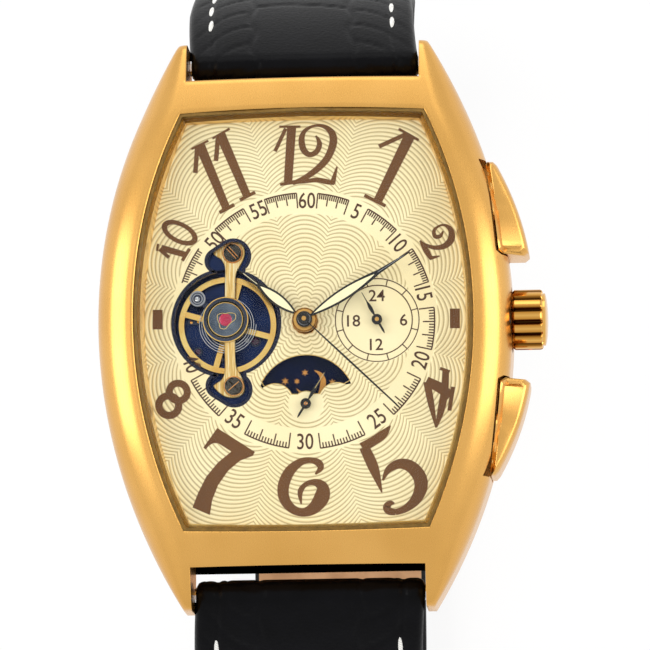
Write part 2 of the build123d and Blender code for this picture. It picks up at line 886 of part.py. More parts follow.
with BuildSketch() as drum:
    RegularPolygon((barrel_teeth / 2 - 2 * dedendum_share) * barrel_module, small_sides)
build_wheel(
    "mainspring_barrel",
    (barrel_x, barrel_y),
    [
        (gear_face(barrel_teeth, barrel_module, barrel_angle + 180), third_wheel_level, pinion_height),
        (drum.sketch, rotor_level + rotor_rim_thickness + 2 * running_gap, barrel_height),
    ],
    arbor_radius,
    (arbor_bottom, arbor_top),
    0,
)
build_wheel(
    "intermediate_wheel",
    (intermediate_x, intermediate_y),
    [
        (
            gear_face(
                intermediate_pinion_teeth,
                barrel_module,
                meshing_phase(barrel_angle + 180, intermediate_pinion_teeth),
            ),
            third_wheel_level,
            pinion_height,
        ),
        (
            gear_face(intermediate_wheel_teeth, intermediate_module, intermediate_angle + 180),
            intermediate_wheel_level,
            wheel_thickness,
        ),
    ],
    arbor_radius,
    (arbor_bottom, arbor_top),
    0,
)
centre_bottom = centre_wheel_level - running_gap
build_wheel(
    "centre_wheel",
    (0, 0),
    [
        (
            gear_face(centre_wheel_teeth, third_pinion_module, third_angle),
            centre_wheel_level,
            wheel_thickness,
        ),
        (
            gear_face(
                centre_pinion_teeth,
                intermediate_module,
                meshing_phase(intermediate_angle + 180, centre_pinion_teeth),
            ),
            intermediate_wheel_level,
            wheel_thickness,
        ),
    ],
    centre_tube_radius,
    (centre_bottom, minute_hand_level),
    seconds_arbor_radius + running_gap,
)
build_wheel(
    "third_wheel",
    (third_x, third_y),
    [
        (
            gear_face(
                third_pinion_teeth,
                third_pinion_module,
                meshing_phase(third_angle, third_pinion_teeth),
            ),
            centre_wheel_level,
            pinion_height,
        ),
        (
            gear_face(third_wheel_teeth, third_wheel_module, third_angle + 180),
            third_wheel_level,
            wheel_thickness,
        ),
    ],
    arbor_radius,
    (arbor_bottom, arbor_top),
    0,
)
build_wheel(
    "fourth_wheel",
    (0, 0),
    [
        (
            gear_face(
                fourth_pinion_teeth,
                third_wheel_module,
                meshing_phase(third_angle + 180, fourth_pinion_teeth),
            ),
            third_wheel_level,
            pinion_height,
        ),
        (gear_face(fourth_wheel_teeth, escape_module, escape_angle), fourth_wheel_level, wheel_thickness),
    ],
    seconds_arbor_radius,
    (arbor_bottom, second_hand_level + hub_height),
    0,
)


# Escape wheel with raked club teeth
def escape_face():
    """Fifteen hooked teeth, each leaning forwards from a thin rim."""
    root = escape_wheel_radius * escape_root_share
    tip = escape_wheel_radius
    front, back, heel = escape_tooth_shares
    step = 2 * pi / escape_teeth
    points = []
    for tooth in range(escape_teeth):
        angle = tooth * step
        for radius, share in ((root, 0), (tip, front), (tip, back), (root, heel)):
            points.append((radius * cos(angle + share * step), radius * sin(angle + share * step)))
    with BuildSketch() as outline:
        with BuildLine():
            Polyline(*points, close=True)
        make_face()
    return outline.sketch


build_wheel(
    "escape_wheel",
    (escape_x, escape_y),
    [
        (
            gear_face(escape_pinion_teeth, escape_module, meshing_phase(escape_angle, escape_pinion_teeth)),
            fourth_wheel_level,
            pinion_height,
        ),
        (escape_face(), escape_level, wheel_thickness),
    ],
    arbor_radius,
    (arbor_bottom, arbor_top),
    0,
)

# Pallet fork: a lever from the balance's roller to two arms beside the escape wheel
fork_lever_angle = degrees(atan2(-fork_y, balance_x - fork_x))
fork_wheel_angle = degrees(atan2(escape_y - fork_y, escape_x - fork_x))
with BuildPart() as pallet_fork:
    with BuildSketch(Plane((fork_x, fork_y, fork_level)).rotated((0, 0, fork_lever_angle))):
        RegularPolygon(hub_radius, small_sides)
        with Locations((fork_horn_reach / 2, 0)):
            Rectangle(fork_horn_reach, fork_width)
    extrude(amount=fork_thickness)
    for sign in (1, -1):
        arm_angle = fork_wheel_angle + sign * fork_arm_angle
        with BuildSketch(Plane((fork_x, fork_y, fork_level)).rotated((0, 0, arm_angle))):
            with Locations((fork_arm_reach / 2, 0)):
                Rectangle(fork_arm_reach, fork_width)
        extrude(amount=fork_thickness)
    with BuildSketch(Plane((fork_x, fork_y, arbor_bottom))):
        RegularPolygon(arbor_radius, small_sides)
    extrude(amount=arbor_top - arbor_bottom)
keep(pallet_fork, "pallet_fork")

# Balance wheel
rim_inner = balance_rim_radius - balance_rim_width
with BuildPart() as balance_wheel:
    with BuildSketch(Plane.XY.offset(balance_rim_bottom)):
        with Locations((balance_x, 0)):
            RegularPolygon(balance_rim_radius, 2 * large_sides)
            RegularPolygon(rim_inner, 2 * large_sides, mode=Mode.SUBTRACT)
    extrude(amount=balance_rim_height)
    for spoke in range(spoke_count):
        angle = spoke_angle + spoke * 360 / spoke_count
        with BuildSketch(Plane((balance_x, 0, balance_rim_bottom)).rotated((0, 0, angle))):
            with Locations((balance_rim_radius / 2 - balance_rim_width / 4, 0)):
                Rectangle(balance_rim_radius - balance_rim_width / 2, spoke_width)
        extrude(amount=balance_rim_height / 2)
    with BuildSketch(Plane((balance_x, 0, balance_rim_bottom))):
        RegularPolygon(balance_hub_radius, small_sides)
    extrude(amount=balance_rim_height)
    with BuildSketch(Plane((balance_x, 0, balance_rim_bottom))):
        RegularPolygon(collet_radius, small_sides)
    extrude(amount=spring_bottom + spring_height - balance_rim_bottom)
    with BuildSketch(Plane((balance_x, 0, roller_bottom))):
        RegularPolygon(roller_radius, small_sides)
    extrude(amount=roller_thickness)
    with BuildSketch(Plane((balance_x, 0, staff_bottom))):
        RegularPolygon(staff_radius, small_sides)
    extrude(amount=staff_top - staff_bottom)
keep(balance_wheel, "balance_wheel")

# Hairspring: a flat spiral of half turns whose centres alternate about the staff
half_turns = 2 * spring_turns
with BuildPart() as hairspring:
    with BuildSketch(Plane((balance_x, 0, spring_bottom))):
        for turn in range(half_turns):
            radius = spring_inner_radius + (turn + 0.5) * spring_pitch / 2
            centre = (spring_pitch / 4) * (1 if turn % 2 == 0 else -1)
            low = 0 if turn % 2 == 0 else 180
            with BuildLine():
                outer = CenterArc((centre, 0), radius + spring_leaf / 2, low, 180)
                inner = CenterArc((centre, 0), radius - spring_leaf / 2, low, 180)
                Line(outer @ 0, inner @ 0)
                Line(outer @ 1, inner @ 1)
            make_face()
    extrude(amount=spring_height)
keep(hairspring, "hairspring")
print("hairspring least gap", round(spring_pitch - spring_leaf, 3))

# Balance bridge: two gold arms with comma shaped heads
arm_shift = bridge_screw_shift / 2
neck_y = bridge_screw_reach - bridge_head_radius - bridge_flare
right_share, low_share, left_share, high_share = bridge_head_shares
head_x = bridge_screw_shift
head_y = bridge_screw_reach
head_points = [
    (head_x + bridge_head_radius * right_share, head_y - bridge_head_radius * low_share),
    (arm_shift + bridge_arm_width / 2, neck_y),
    (arm_shift - bridge_arm_width / 2, neck_y),
    (head_x - hook_shift - hook_radius * bridge_hook_share, head_y - hook_drop),
    (head_x - bridge_head_radius * left_share, head_y + bridge_head_radius * high_share),
]
with BuildPart() as balance_bridge:
    with BuildSketch(Plane((balance_x, 0, bridge_bottom))):
        with Locations((arm_shift, 0)):
            Rectangle(bridge_arm_width, 2 * (bridge_screw_reach - bridge_head_radius / 2))
        RegularPolygon(bridge_bore_radius * bridge_hub_share, small_sides)
        for sign in (1, -1):
            with BuildLine():
                Polyline(*[(x, sign * y) for x, y in head_points], close=True)
            make_face()
        with Locations((bridge_screw_shift, bridge_screw_reach), (bridge_screw_shift, -bridge_screw_reach)):
            RegularPolygon(bridge_head_radius, large_sides)
            RegularPolygon(screw_shank_radius + face_gap, small_sides, mode=Mode.SUBTRACT)
        RegularPolygon(bridge_bore_radius, small_sides, mode=Mode.SUBTRACT)
    extrude(amount=bridge_thickness)
keep(balance_bridge, "balance_bridge")
bridge_top = bridge_bottom + bridge_thickness

with BuildPart() as bridge_screws:
    for sign in (1, -1):
        seat = Plane((balance_x + bridge_screw_shift, sign * bridge_screw_reach, bridge_top))
        plane = seat.rotated((0, 0, screw_slot_angle))
        with BuildSketch(plane):
            RegularPolygon(screw_head_radius, small_sides)
        extrude(amount=screw_head_height)
        with BuildSketch(plane):
            RegularPolygon(screw_shank_radius, small_sides)
        extrude(amount=-screw_shank_length)
        with BuildSketch(plane.offset(screw_head_height - screw_slot_depth)):
            Rectangle(2 * screw_head_radius + cut, screw_slot_width)
        extrude(amount=cut, mode=Mode.SUBTRACT)
keep(bridge_screws, "bridge_screws")

# Regulator: an index ring round the jewel setting with an arm to the stud
with BuildPart() as regulator:
    with BuildSketch(Plane((balance_x, 0, bridge_top)).rotated((0, 0, stud_angle))):
        RegularPolygon(index_outer_radius, large_sides)
        with Locations((stud_arm_length / 2, 0)):
            Rectangle(stud_arm_length, index_arm_width)
        with Locations((stud_arm_length, 0)):
            RegularPolygon(stud_ring_radius, small_sides)
        RegularPolygon(index_inner_radius, large_sides, mode=Mode.SUBTRACT)
        with Locations((stud_arm_length, 0)):
            RegularPolygon(stud_pin_radius, small_sides, mode=Mode.SUBTRACT)
    extrude(amount=index_thickness)
    with BuildSketch(Plane((balance_x, 0, spring_bottom)).rotated((0, 0, stud_angle))):
        with Locations((stud_arm_length, 0)):
            RegularPolygon(stud_ring_radius, small_sides)
            RegularPolygon(stud_pin_radius, small_sides, mode=Mode.SUBTRACT)
    extrude(amount=bridge_top - spring_bottom)
keep(regulator, "regulator")

with BuildPart() as stud:
    stud_x, stud_y = polar(stud_arm_length, stud_angle)
    with BuildSketch(Plane((balance_x + stud_x, stud_y, spring_bottom))):
        RegularPolygon(stud_pin_radius - face_gap, small_sides)
    extrude(amount=bridge_top + index_thickness + face_gap - spring_bottom)
keep(stud, "hairspring_stud")

# Shock setting and its ruby
with BuildPart() as shock_setting:
    with BuildSketch(Plane((balance_x, 0, bridge_top))):
        RegularPolygon(setting_radius, large_sides)
    extrude(amount=setting_thickness)
    with BuildSketch(Plane((balance_x, 0, bridge_top + setting_thickness - setting_recess))):
        RegularPolygon(setting_radius - setting_rim, large_sides)
    extrude(amount=cut, mode=Mode.SUBTRACT)
keep(shock_setting, "shock_setting")

with BuildPart() as balance_jewel:
    with BuildSketch(Plane((balance_x, 0, bridge_top + setting_thickness - setting_recess))):
        RegularPolygon(jewel_radius, small_sides)
    extrude(amount=jewel_height)
keep(balance_jewel, "balance_jewel")

# Motion work: hour wheel, idler and day wheel in one line under the dial
with BuildPart() as cannon_pinion:
    with BuildSketch(Plane.XY.offset(motion_level - 2 * motion_recess_gap)):
        RegularPolygon(cannon_radius, small_sides)
        RegularPolygon(centre_tube_radius + running_gap, small_sides, mode=Mode.SUBTRACT)
    extrude(amount=minute_hand_level + hub_height - motion_level + 2 * motion_recess_gap)
keep(cannon_pinion, "cannon_pinion")

with BuildPart() as hour_wheel:
    with BuildSketch(Plane.XY.offset(motion_level)):
        add(gear_face(hour_gear_teeth, day_module, 0))
    extrude(amount=motion_thickness)
    with BuildSketch(Plane.XY.offset(motion_level)):
        RegularPolygon(hour_tube_radius, small_sides)
    extrude(amount=hour_hand_level + hub_height - motion_level)
    with BuildSketch(Plane.XY.offset(motion_level - cut)):
        RegularPolygon(cannon_radius + running_gap, small_sides)
    extrude(amount=case_height, mode=Mode.SUBTRACT)
keep(hour_wheel, "hour_wheel")

plate_arbor_bottom = plate_bottom + face_gap
idler_phase = meshing_phase(0, idler_gear_teeth)
day_phase = meshing_phase(0, day_gear_teeth)
build_wheel(
    "day_idler",
    (idler_x, 0),
    [(gear_face(idler_gear_teeth, day_module, idler_phase), motion_level, motion_thickness)],
    arbor_radius,
    (plate_arbor_bottom, plate_top),
    0,
)
build_wheel(
    "day_wheel",
    (day_axis_x, 0),
    [(gear_face(day_gear_teeth, day_module, day_phase), motion_level, motion_thickness)],
    arbor_radius,
    (motion_level - motion_recess_gap / 2, low_hand_level + hub_height),
    0,
)

# Small arbor that carries the small hand through the moon disc
with BuildPart() as small_arbor:
    with BuildSketch(Plane((0, small_axis_y, plate_arbor_bottom))):
        RegularPolygon(arbor_radius, small_sides)
    extrude(amount=low_hand_level - plate_arbor_bottom)
keep(small_arbor, "small_arbor")

# Rotor, its bearing and its screw
with BuildPart() as rotor:
    with BuildSketch(Plane.XY.offset(rotor_level)):
        RegularPolygon(rotor_radius, large_sides)
        RegularPolygon(rotor_radius - rotor_rim_width, large_sides, mode=Mode.SUBTRACT)
        with Locations((0, rotor_radius)):
            Rectangle(3 * rotor_radius, 2 * rotor_radius, mode=Mode.SUBTRACT)
    extrude(amount=rotor_rim_thickness)
    with BuildSketch(Plane.XY.offset(rotor_level)):
        RegularPolygon(rotor_radius - rotor_rim_width / 2, large_sides)
        with Locations((0, rotor_radius)):
            Rectangle(3 * rotor_radius, 2 * rotor_radius, mode=Mode.SUBTRACT)
        Circle(rotor_hub_radius)
        RegularPolygon(rotor_bearing_radius + running_gap, small_sides, mode=Mode.SUBTRACT)
    extrude(amount=rotor_web_thickness)
keep(rotor, "rotor")

with BuildPart() as rotor_bearing:
    with BuildSketch(Plane.XY.offset(rotor_level)):
        RegularPolygon(rotor_bearing_radius, small_sides)
    extrude(amount=train_bridge_bottom - rotor_level)
keep(rotor_bearing, "rotor_bearing")

# Case back, its window, gasket and four screws
back_face = barrel_face(
    case_half - back_inset,
    case_side_radius - back_inset,
    wall_half - back_inset,
    0,
)
with BuildPart() as case_back:
    with BuildSketch(Plane.XY):
        add(back_face)
    extrude(amount=back_thickness)
    with BuildSketch(Plane.XY.offset(-cut)):
        RegularPolygon(back_window_radius - back_window_seat, large_sides)
        with GridLocations(2 * back_screw_x, 2 * back_screw_y, 2, 2):
            RegularPolygon(back_screw_radius + face_gap, small_sides)
    extrude(amount=back_thickness + 2 * cut, mode=Mode.SUBTRACT)
    with BuildSketch(Plane.XY.offset(back_thickness - back_window_thickness)):
        RegularPolygon(back_window_radius, large_sides)
    extrude(amount=back_thickness + cut, mode=Mode.SUBTRACT)
    with BuildSketch(Plane.XY.offset(-cut)):
        with GridLocations(2 * back_screw_x, 2 * back_screw_y, 2, 2):
            RegularPolygon(back_screw_head_radius + face_gap, small_sides)
    extrude(amount=back_screw_head_height + cut, mode=Mode.SUBTRACT)
keep(case_back, "case_back")

with BuildPart() as back_window:
    with BuildSketch(Plane.XY.offset(back_thickness - back_window_thickness)):
        RegularPolygon(back_window_radius - face_gap, large_sides)
    extrude(amount=back_window_thickness)
    with BuildSketch(Plane.XY):
        RegularPolygon(back_window_radius - back_window_seat - face_gap, large_sides)
    extrude(amount=back_thickness - back_window_thickness)
keep(back_window, "back_window")

with BuildPart() as back_screws:
    with BuildSketch(Plane.XY):
        with GridLocations(2 * back_screw_x, 2 * back_screw_y, 2, 2):
            RegularPolygon(back_screw_head_radius, small_sides)
    extrude(amount=back_screw_head_height)
    with BuildSketch(Plane.XY):
        with GridLocations(2 * back_screw_x, 2 * back_screw_y, 2, 2):
            RegularPolygon(back_screw_radius, small_sides)
    extrude(amount=back_screw_length)
keep(back_screws, "case_back_screws")

# Crown, stem, tube and winding pinion on one axis along +X
crown_outer_x = crown_inner_x + crown_length
stem_outer_x = crown_outer_x - crown_cap_height
ridge = 360 / crown_flutes
crown_points = []
for flute in range(crown_flutes):
    for radius, share in (
        (crown_radius, -crown_ridge_share),
        (crown_radius, crown_ridge_share),
        (crown_radius - flute_depth, crown_groove_share),
        (crown_radius - flute_depth, 1 - crown_groove_share),
    ):
        y, z = polar(radius, (flute + share) * ridge)
        crown_points.append((y, stem_height + z))
with BuildPart() as crown:
    with BuildSketch(Plane.YZ.offset(crown_inner_x)):
        with BuildLine():
            Polyline(*crown_points, close=True)
        make_face()
    extrude(amount=crown_length)
    with BuildSketch(Plane.XZ):
        with BuildLine():
            Polyline(
                (crown_outer_x - crown_edge, stem_height),
                (crown_outer_x - crown_edge, stem_height + crown_radius - flute_depth),
                (crown_outer_x + crown_cap_height / 2, stem_height + crown_radius - flute_depth),
                (crown_outer_x + crown_cap_height, stem_height + crown_radius / 2),
                (crown_outer_x + crown_cap_height, stem_height),
                close=True,
            )
        make_face()
    revolve(axis=Axis((0, 0, stem_height), (1, 0, 0)))
    with BuildSketch(Plane.YZ.offset(crown_inner_x - cut)):
        with Locations((0, stem_height)):
            RegularPolygon(crown_bore_radius, small_sides)
    extrude(amount=crown_bore_depth + cut, mode=Mode.SUBTRACT)
    with BuildSketch(Plane.YZ.offset(crown_inner_x - cut)):
        with Locations((0, stem_height)):
            RegularPolygon(stem_radius, small_sides)
    extrude(amount=stem_outer_x - crown_inner_x + cut, mode=Mode.SUBTRACT)
keep(crown, "crown")

with BuildPart() as crown_gasket:
    with BuildSketch(Plane.YZ.offset(crown_inner_x + tube_proud / 2)):
        with Locations((0, stem_height)):
            RegularPolygon(crown_bore_radius, small_sides)
            RegularPolygon(tube_outer_radius + running_gap, small_sides, mode=Mode.SUBTRACT)
    extrude(amount=crown_gasket_thickness)
keep(crown_gasket, "crown_gasket")

with BuildPart() as winding_stem:
    with BuildSketch(Plane.YZ.offset(stem_inner_x)):
        with Locations((0, stem_height)):
            RegularPolygon(stem_radius, small_sides)
    extrude(amount=stem_outer_x - stem_inner_x)
keep(winding_stem, "winding_stem")

tube_inner_x = crown_inner_x + tube_proud - tube_length
with BuildPart() as crown_tube:
    with BuildSketch(Plane.YZ.offset(tube_inner_x)):
        with Locations((0, stem_height)):
            RegularPolygon(tube_outer_radius, small_sides)
            RegularPolygon(stem_radius + running_gap, small_sides, mode=Mode.SUBTRACT)
    extrude(amount=tube_length)
keep(crown_tube, "crown_tube")

with BuildPart() as winding_pinion:
    with BuildSketch(Plane.YZ.offset(winding_pinion_x)):
        with Locations((0, stem_height)):
            RegularPolygon(winding_pinion_radius, small_sides)
            RegularPolygon(stem_radius + running_gap, small_sides, mode=Mode.SUBTRACT)
    extrude(amount=winding_pinion_length)
keep(winding_pinion, "winding_pinion")

# Spring bars between the lugs
with BuildPart() as spring_bars:
    for side in (1, -1):
        with BuildSketch(Plane.YZ.offset(-lug_inner + running_gap)):
            with Locations((side * bar_y, bar_z)):
                RegularPolygon(bar_radius, small_sides)
        extrude(amount=lug_gap - 2 * running_gap)
        with BuildSketch(Plane.YZ.offset(-lug_inner - bar_pin_length)):
            with Locations((side * bar_y, bar_z)):
                RegularPolygon(bar_pin_radius, small_sides)
        extrude(amount=lug_gap + 2 * bar_pin_length)
keep(spring_bars, "spring_bars")

# Strap: side profiles drawn in the YZ plane, with the taper cut from the front.
# Each side falls in a wide arc from its spring bar, then bends under the wrist.
drop_start = radians(strap_start_angle)
side_y = bar_y + strap_side_radius * (1 - cos(drop_start))
side_z = bar_z - strap_side_radius * sin(drop_start)
bend_y = side_y - strap_bend_radius
floor_z = side_z - strap_bend_radius
half_leather = strap_thickness / 2
layer_step = strap_thickness + strap_layer_gap
tail_floor_z = floor_z - layer_step


def strap_part(sign, bend_radius, flat_end, tail_angle, holes):
    """Leather half: spring bar loop, side, bend under the wrist and flat run."""
    root_y = strap_end_radius * cos(drop_start)
    root_z = strap_end_radius * sin(drop_start)
    root_out = (sign * (bar_y + root_y), bar_z + root_z)
    root_in = (sign * (bar_y - root_y), bar_z - root_z)
    outer_side = (sign * (bend_y + bend_radius + half_leather), side_z)
    inner_side = (sign * (bend_y + bend_radius - half_leather), side_z)
    low = side_z - bend_radius
    with BuildPart() as leather:
        with BuildSketch(Plane.YZ.offset(-strap_width / 2)):
            with BuildLine():
                TangentArc(outer_side, root_out, tangent=(0, 1))
                ThreePointArc(
                    root_out,
                    (
                        sign * (bar_y - root_z),
                        bar_z + root_y,
                    ),
                    root_in,
                )
                TangentArc(inner_side, root_in, tangent=(0, 1))
                corner = sin(pi / 4)
                ThreePointArc(
                    outer_side,
                    (
                        sign * (bend_y + (bend_radius + half_leather) * corner),
                        side_z - (bend_radius + half_leather) * corner,
                    ),
                    (sign * bend_y, low - half_leather),
                )
                ThreePointArc(
                    inner_side,
                    (
                        sign * (bend_y + (bend_radius - half_leather) * corner),
                        side_z - (bend_radius - half_leather) * corner,
                    ),
                    (sign * bend_y, low + half_leather),
                )
                Line((sign * bend_y, low - half_leather), (sign * flat_end, low - half_leather))
                Line((sign * bend_y, low + half_leather), (sign * flat_end, low + half_leather))
                Line((sign * flat_end, low - half_leather), (sign * flat_end, low + half_leather))
            make_face()
            if tail_angle > 0:
                with BuildLine():
                    reach = bend_radius
                    tail_out = CenterArc(
                        (-sign * bend_y, side_z),
                        reach + half_leather,
                        -90,
                        -sign * tail_angle,
                    )
                    tail_in = CenterArc(
                        (-sign * bend_y, side_z),
                        reach - half_leather,
                        -90,
                        -sign * tail_angle,
                    )
                    Line(tail_out @ 0, tail_in @ 0)
                    Line(tail_out @ 1, tail_in @ 1)
                make_face()
        extrude(amount=strap_width)
        with BuildSketch(Plane.YZ.offset(-strap_width)):
            with Locations((sign * bar_y, bar_z)):
                RegularPolygon(bar_radius + strap_bar_gap, small_sides)
        extrude(amount=2 * strap_width, mode=Mode.SUBTRACT)
        with BuildSketch(Plane.XZ.offset(-2 * case_length)):
            with BuildLine():
                Polyline(
                    (-strap_width / 2, bar_z + 2 * strap_end_radius),
                    (-strap_width / 2, bar_z - 2 * strap_end_radius),
                    (-strap_buckle_width / 2, floor_z + strap_bend_radius / 2),
                    (-strap_buckle_width / 2, tail_floor_z - strap_thickness),
                    (strap_buckle_width / 2, tail_floor_z - strap_thickness),
                    (strap_buckle_width / 2, floor_z + strap_bend_radius / 2),
                    (strap_width / 2, bar_z - 2 * strap_end_radius),
                    (strap_width / 2, bar_z + 2 * strap_end_radius),
                    close=True,
                )
            make_face()
        extrude(amount=4 * case_length, mode=Mode.INTERSECT)
        for y in holes:
            with BuildSketch(Plane((0, y, low - strap_thickness))):
                RegularPolygon(strap_hole_radius, small_sides)
            extrude(amount=2 * strap_thickness, mode=Mode.SUBTRACT)
    return leather


# The short half ends in a loop round the buckle's bar, with a slot for the tongue
short_strap = strap_part(1, strap_bend_radius, buckle_bar_y, 0, [])
with BuildPart() as strap_short:
    add(short_strap.part)
    with BuildSketch(Plane.YZ.offset(-strap_buckle_width / 2)):
        with Locations((buckle_bar_y, floor_z)):
            Circle(buckle_loop_radius)
    extrude(amount=strap_buckle_width)
    with BuildSketch(Plane.YZ.offset(-strap_width)):
        with Locations((buckle_bar_y, floor_z)):
            Circle(buckle_bar_radius + strap_bar_gap)
    extrude(amount=2 * strap_width, mode=Mode.SUBTRACT)
    with BuildSketch(Plane((0, buckle_bar_y, floor_z - strap_thickness))):
        Rectangle(tongue_width + 2 * tongue_slot_gap, 4 * buckle_loop_radius)
    extrude(amount=2 * strap_thickness, mode=Mode.SUBTRACT)
keep(strap_short, "strap_twelve")

# The long half runs on outside the short one, through the buckle and the keepers
tail_degrees = degrees(strap_tail_length / (strap_bend_radius + layer_step))
first_hole = tongue_leg_y - strap_hole_pitch * (strap_hole_count // 2)
hole_places = [first_hole + index * strap_hole_pitch for index in range(strap_hole_count)]
long_bend = strap_bend_radius + layer_step
long_part = strap_part(-1, long_bend, -bend_y, tail_degrees, hole_places)
with BuildPart() as strap_long:
    add(long_part.part)
    with BuildSketch(Plane((0, tongue_leg_y, tail_floor_z - strap_thickness))):
        SlotOverall(2 * strap_hole_radius + 4 * tongue_slot_gap, 2 * strap_hole_radius, rotation=90)
    extrude(amount=2 * strap_thickness, mode=Mode.SUBTRACT)
keep(strap_long, "strap_six")

# Buckle bar through the loop of the short strap
buckle_inner = strap_buckle_width / 2 + buckle_side_gap
with BuildPart() as buckle_bar:
    with BuildSketch(Plane.YZ.offset(-buckle_inner + running_gap)):
        with Locations((buckle_bar_y, floor_z)):
            Circle(buckle_bar_radius)
    extrude(amount=2 * (buckle_inner - running_gap))
    with BuildSketch(Plane.YZ.offset(-buckle_inner - bar_pin_length)):
        with Locations((buckle_bar_y, floor_z)):
            RegularPolygon(bar_pin_radius, small_sides)
    extrude(amount=2 * (buckle_inner + bar_pin_length))
keep(buckle_bar, "buckle_bar")

# Buckle frame: two slanting sides and a cross bar under the long strap
cross_y = buckle_bar_y - buckle_reach
cross_top = tail_floor_z - half_leather - cross_bar_gap
cross_bottom = cross_top - cross_bar_thickness
with BuildPart() as buckle_frame:
    for side in (1, -1):
        start = buckle_inner if side > 0 else -buckle_inner - buckle_side
        with BuildSketch(Plane.YZ.offset(start)):
            with Locations((buckle_bar_y, floor_z)):
                Circle(buckle_eye_radius)
            with Locations((cross_y, (cross_top + cross_bottom) / 2)):
                Rectangle(cross_bar_width, cross_bar_thickness)
            make_hull()
            with Locations((buckle_bar_y, floor_z)):
                RegularPolygon(bar_pin_radius + running_gap, small_sides, mode=Mode.SUBTRACT)
        extrude(amount=buckle_side)
    with BuildSketch(Plane.YZ.offset(-buckle_inner - buckle_side / 2)):
        with Locations((cross_y, (cross_top + cross_bottom) / 2)):
            RectangleRounded(cross_bar_width, cross_bar_thickness, cross_bar_thickness / 3)
    extrude(amount=2 * buckle_inner + buckle_side)
    with BuildSketch(Plane.XZ.offset(-2 * cross_bar_width - cross_y)):
        with Locations((0, cross_bottom)):
            Rectangle(
                tongue_width + 2 * tongue_slot_gap,
                2 * (tongue_thickness + 2 * tongue_notch_gap),
            )
    extrude(amount=4 * cross_bar_width, mode=Mode.SUBTRACT)
keep(buckle_frame, "buckle_frame")

# Tongue: an eye on the bar, a bend down through the hole and a tip in the notch
tongue_low = cross_bottom + tongue_notch_gap
tongue_half = tongue_thickness / 2
tongue_tip_y = cross_y - cross_bar_width / 2
eye_radius = buckle_bar_radius + running_gap
with BuildPart() as buckle_tongue:
    with BuildSketch(Plane.YZ.offset(-tongue_width / 2)):
        with Locations((buckle_bar_y, floor_z)):
            Circle(eye_radius + tongue_eye_wall)
        with BuildLine():
            Polyline(
                (buckle_bar_y, floor_z - tongue_half),
                (tongue_leg_y + tongue_half, floor_z - tongue_half),
                (tongue_leg_y + tongue_half, tongue_low),
                (tongue_tip_y, tongue_low),
                (tongue_tip_y, tongue_low + tongue_thickness),
                (tongue_leg_y - tongue_half, tongue_low + tongue_thickness),
                (tongue_leg_y - tongue_half, floor_z + tongue_half),
                (buckle_bar_y, floor_z + tongue_half),
                close=True,
            )
        make_face()
        with Locations((buckle_bar_y, floor_z)):
            Circle(eye_radius, mode=Mode.SUBTRACT)
    extrude(amount=tongue_width)
keep(buckle_tongue, "buckle_tongue")

# Keepers: rounded loops round both layers of leather
keeper_inner_top = floor_z + half_leather + keeper_gap
keeper_inner_bottom = tail_floor_z - half_leather - keeper_gap
keeper_middle = (keeper_inner_top + keeper_inner_bottom) / 2
keeper_inner_height = keeper_inner_top - keeper_inner_bottom
for name, y in (("fixed_keeper", fixed_keeper_y), ("loose_keeper", loose_keeper_y)):
    with BuildPart() as keeper:
        with BuildSketch(Plane.XZ.offset(-y - keeper_width / 2)):
            with Locations((0, keeper_middle)):
                RectangleRounded(
                    strap_buckle_width + 2 * (keeper_gap + keeper_thickness),
                    keeper_inner_height + 2 * keeper_thickness,
                    keeper_thickness,
                )
                Rectangle(
                    strap_buckle_width + 2 * keeper_gap,
                    keeper_inner_height,
                    mode=Mode.SUBTRACT,
                )
        extrude(amount=keeper_width)
    keep(keeper, name)
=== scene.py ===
import bpy
import bmesh
import math
import numpy as np
from mathutils import Matrix, Vector


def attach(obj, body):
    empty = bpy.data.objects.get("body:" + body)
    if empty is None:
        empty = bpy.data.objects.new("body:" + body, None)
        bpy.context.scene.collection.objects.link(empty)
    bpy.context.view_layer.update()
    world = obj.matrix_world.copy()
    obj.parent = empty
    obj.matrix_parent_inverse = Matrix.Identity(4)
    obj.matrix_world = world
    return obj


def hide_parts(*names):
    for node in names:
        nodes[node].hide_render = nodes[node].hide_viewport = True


# Barrel shaped wristwatch, dressed for the camera.
# Sizes are in millimetres as in the part, and become metres when a mesh is made.

MM = 0.001
WELD = 1e-7
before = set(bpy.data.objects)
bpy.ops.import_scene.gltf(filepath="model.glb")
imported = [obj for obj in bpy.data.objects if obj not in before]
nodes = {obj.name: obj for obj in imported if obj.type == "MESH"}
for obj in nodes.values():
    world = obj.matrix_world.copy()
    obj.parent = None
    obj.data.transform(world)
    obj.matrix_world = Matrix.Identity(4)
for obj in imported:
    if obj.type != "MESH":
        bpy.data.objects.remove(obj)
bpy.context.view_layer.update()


# Mesh making

def new_object(name, mesh):
    piece = bpy.data.objects.new(name, mesh)
    bpy.context.collection.objects.link(piece)
    return piece


def finish_mesh(mesh, crease):
    """Shades a mesh smooth except across edges sharper than the crease angle."""
    if crease is None:
        mesh.shade_flat()
    else:
        mesh.shade_smooth()
        mesh.set_sharp_from_angle(angle=math.radians(crease))


def metre_mesh(name, points, faces):
    """A mesh from points in millimetres."""
    mesh = bpy.data.meshes.new(name)
    places = [tuple(float(c) * MM for c in p) for p in points]
    mesh.from_pydata(places, [], [tuple(int(i) for i in face) for face in faces])
    return mesh


def apply_live(piece):
    """Makes the result of a piece's modifiers its own plain mesh."""
    depsgraph = bpy.context.evaluated_depsgraph_get()
    made = bpy.data.meshes.new_from_object(piece.evaluated_get(depsgraph))
    piece.modifiers.clear()
    piece.data = made
    made.name = piece.name
    return made


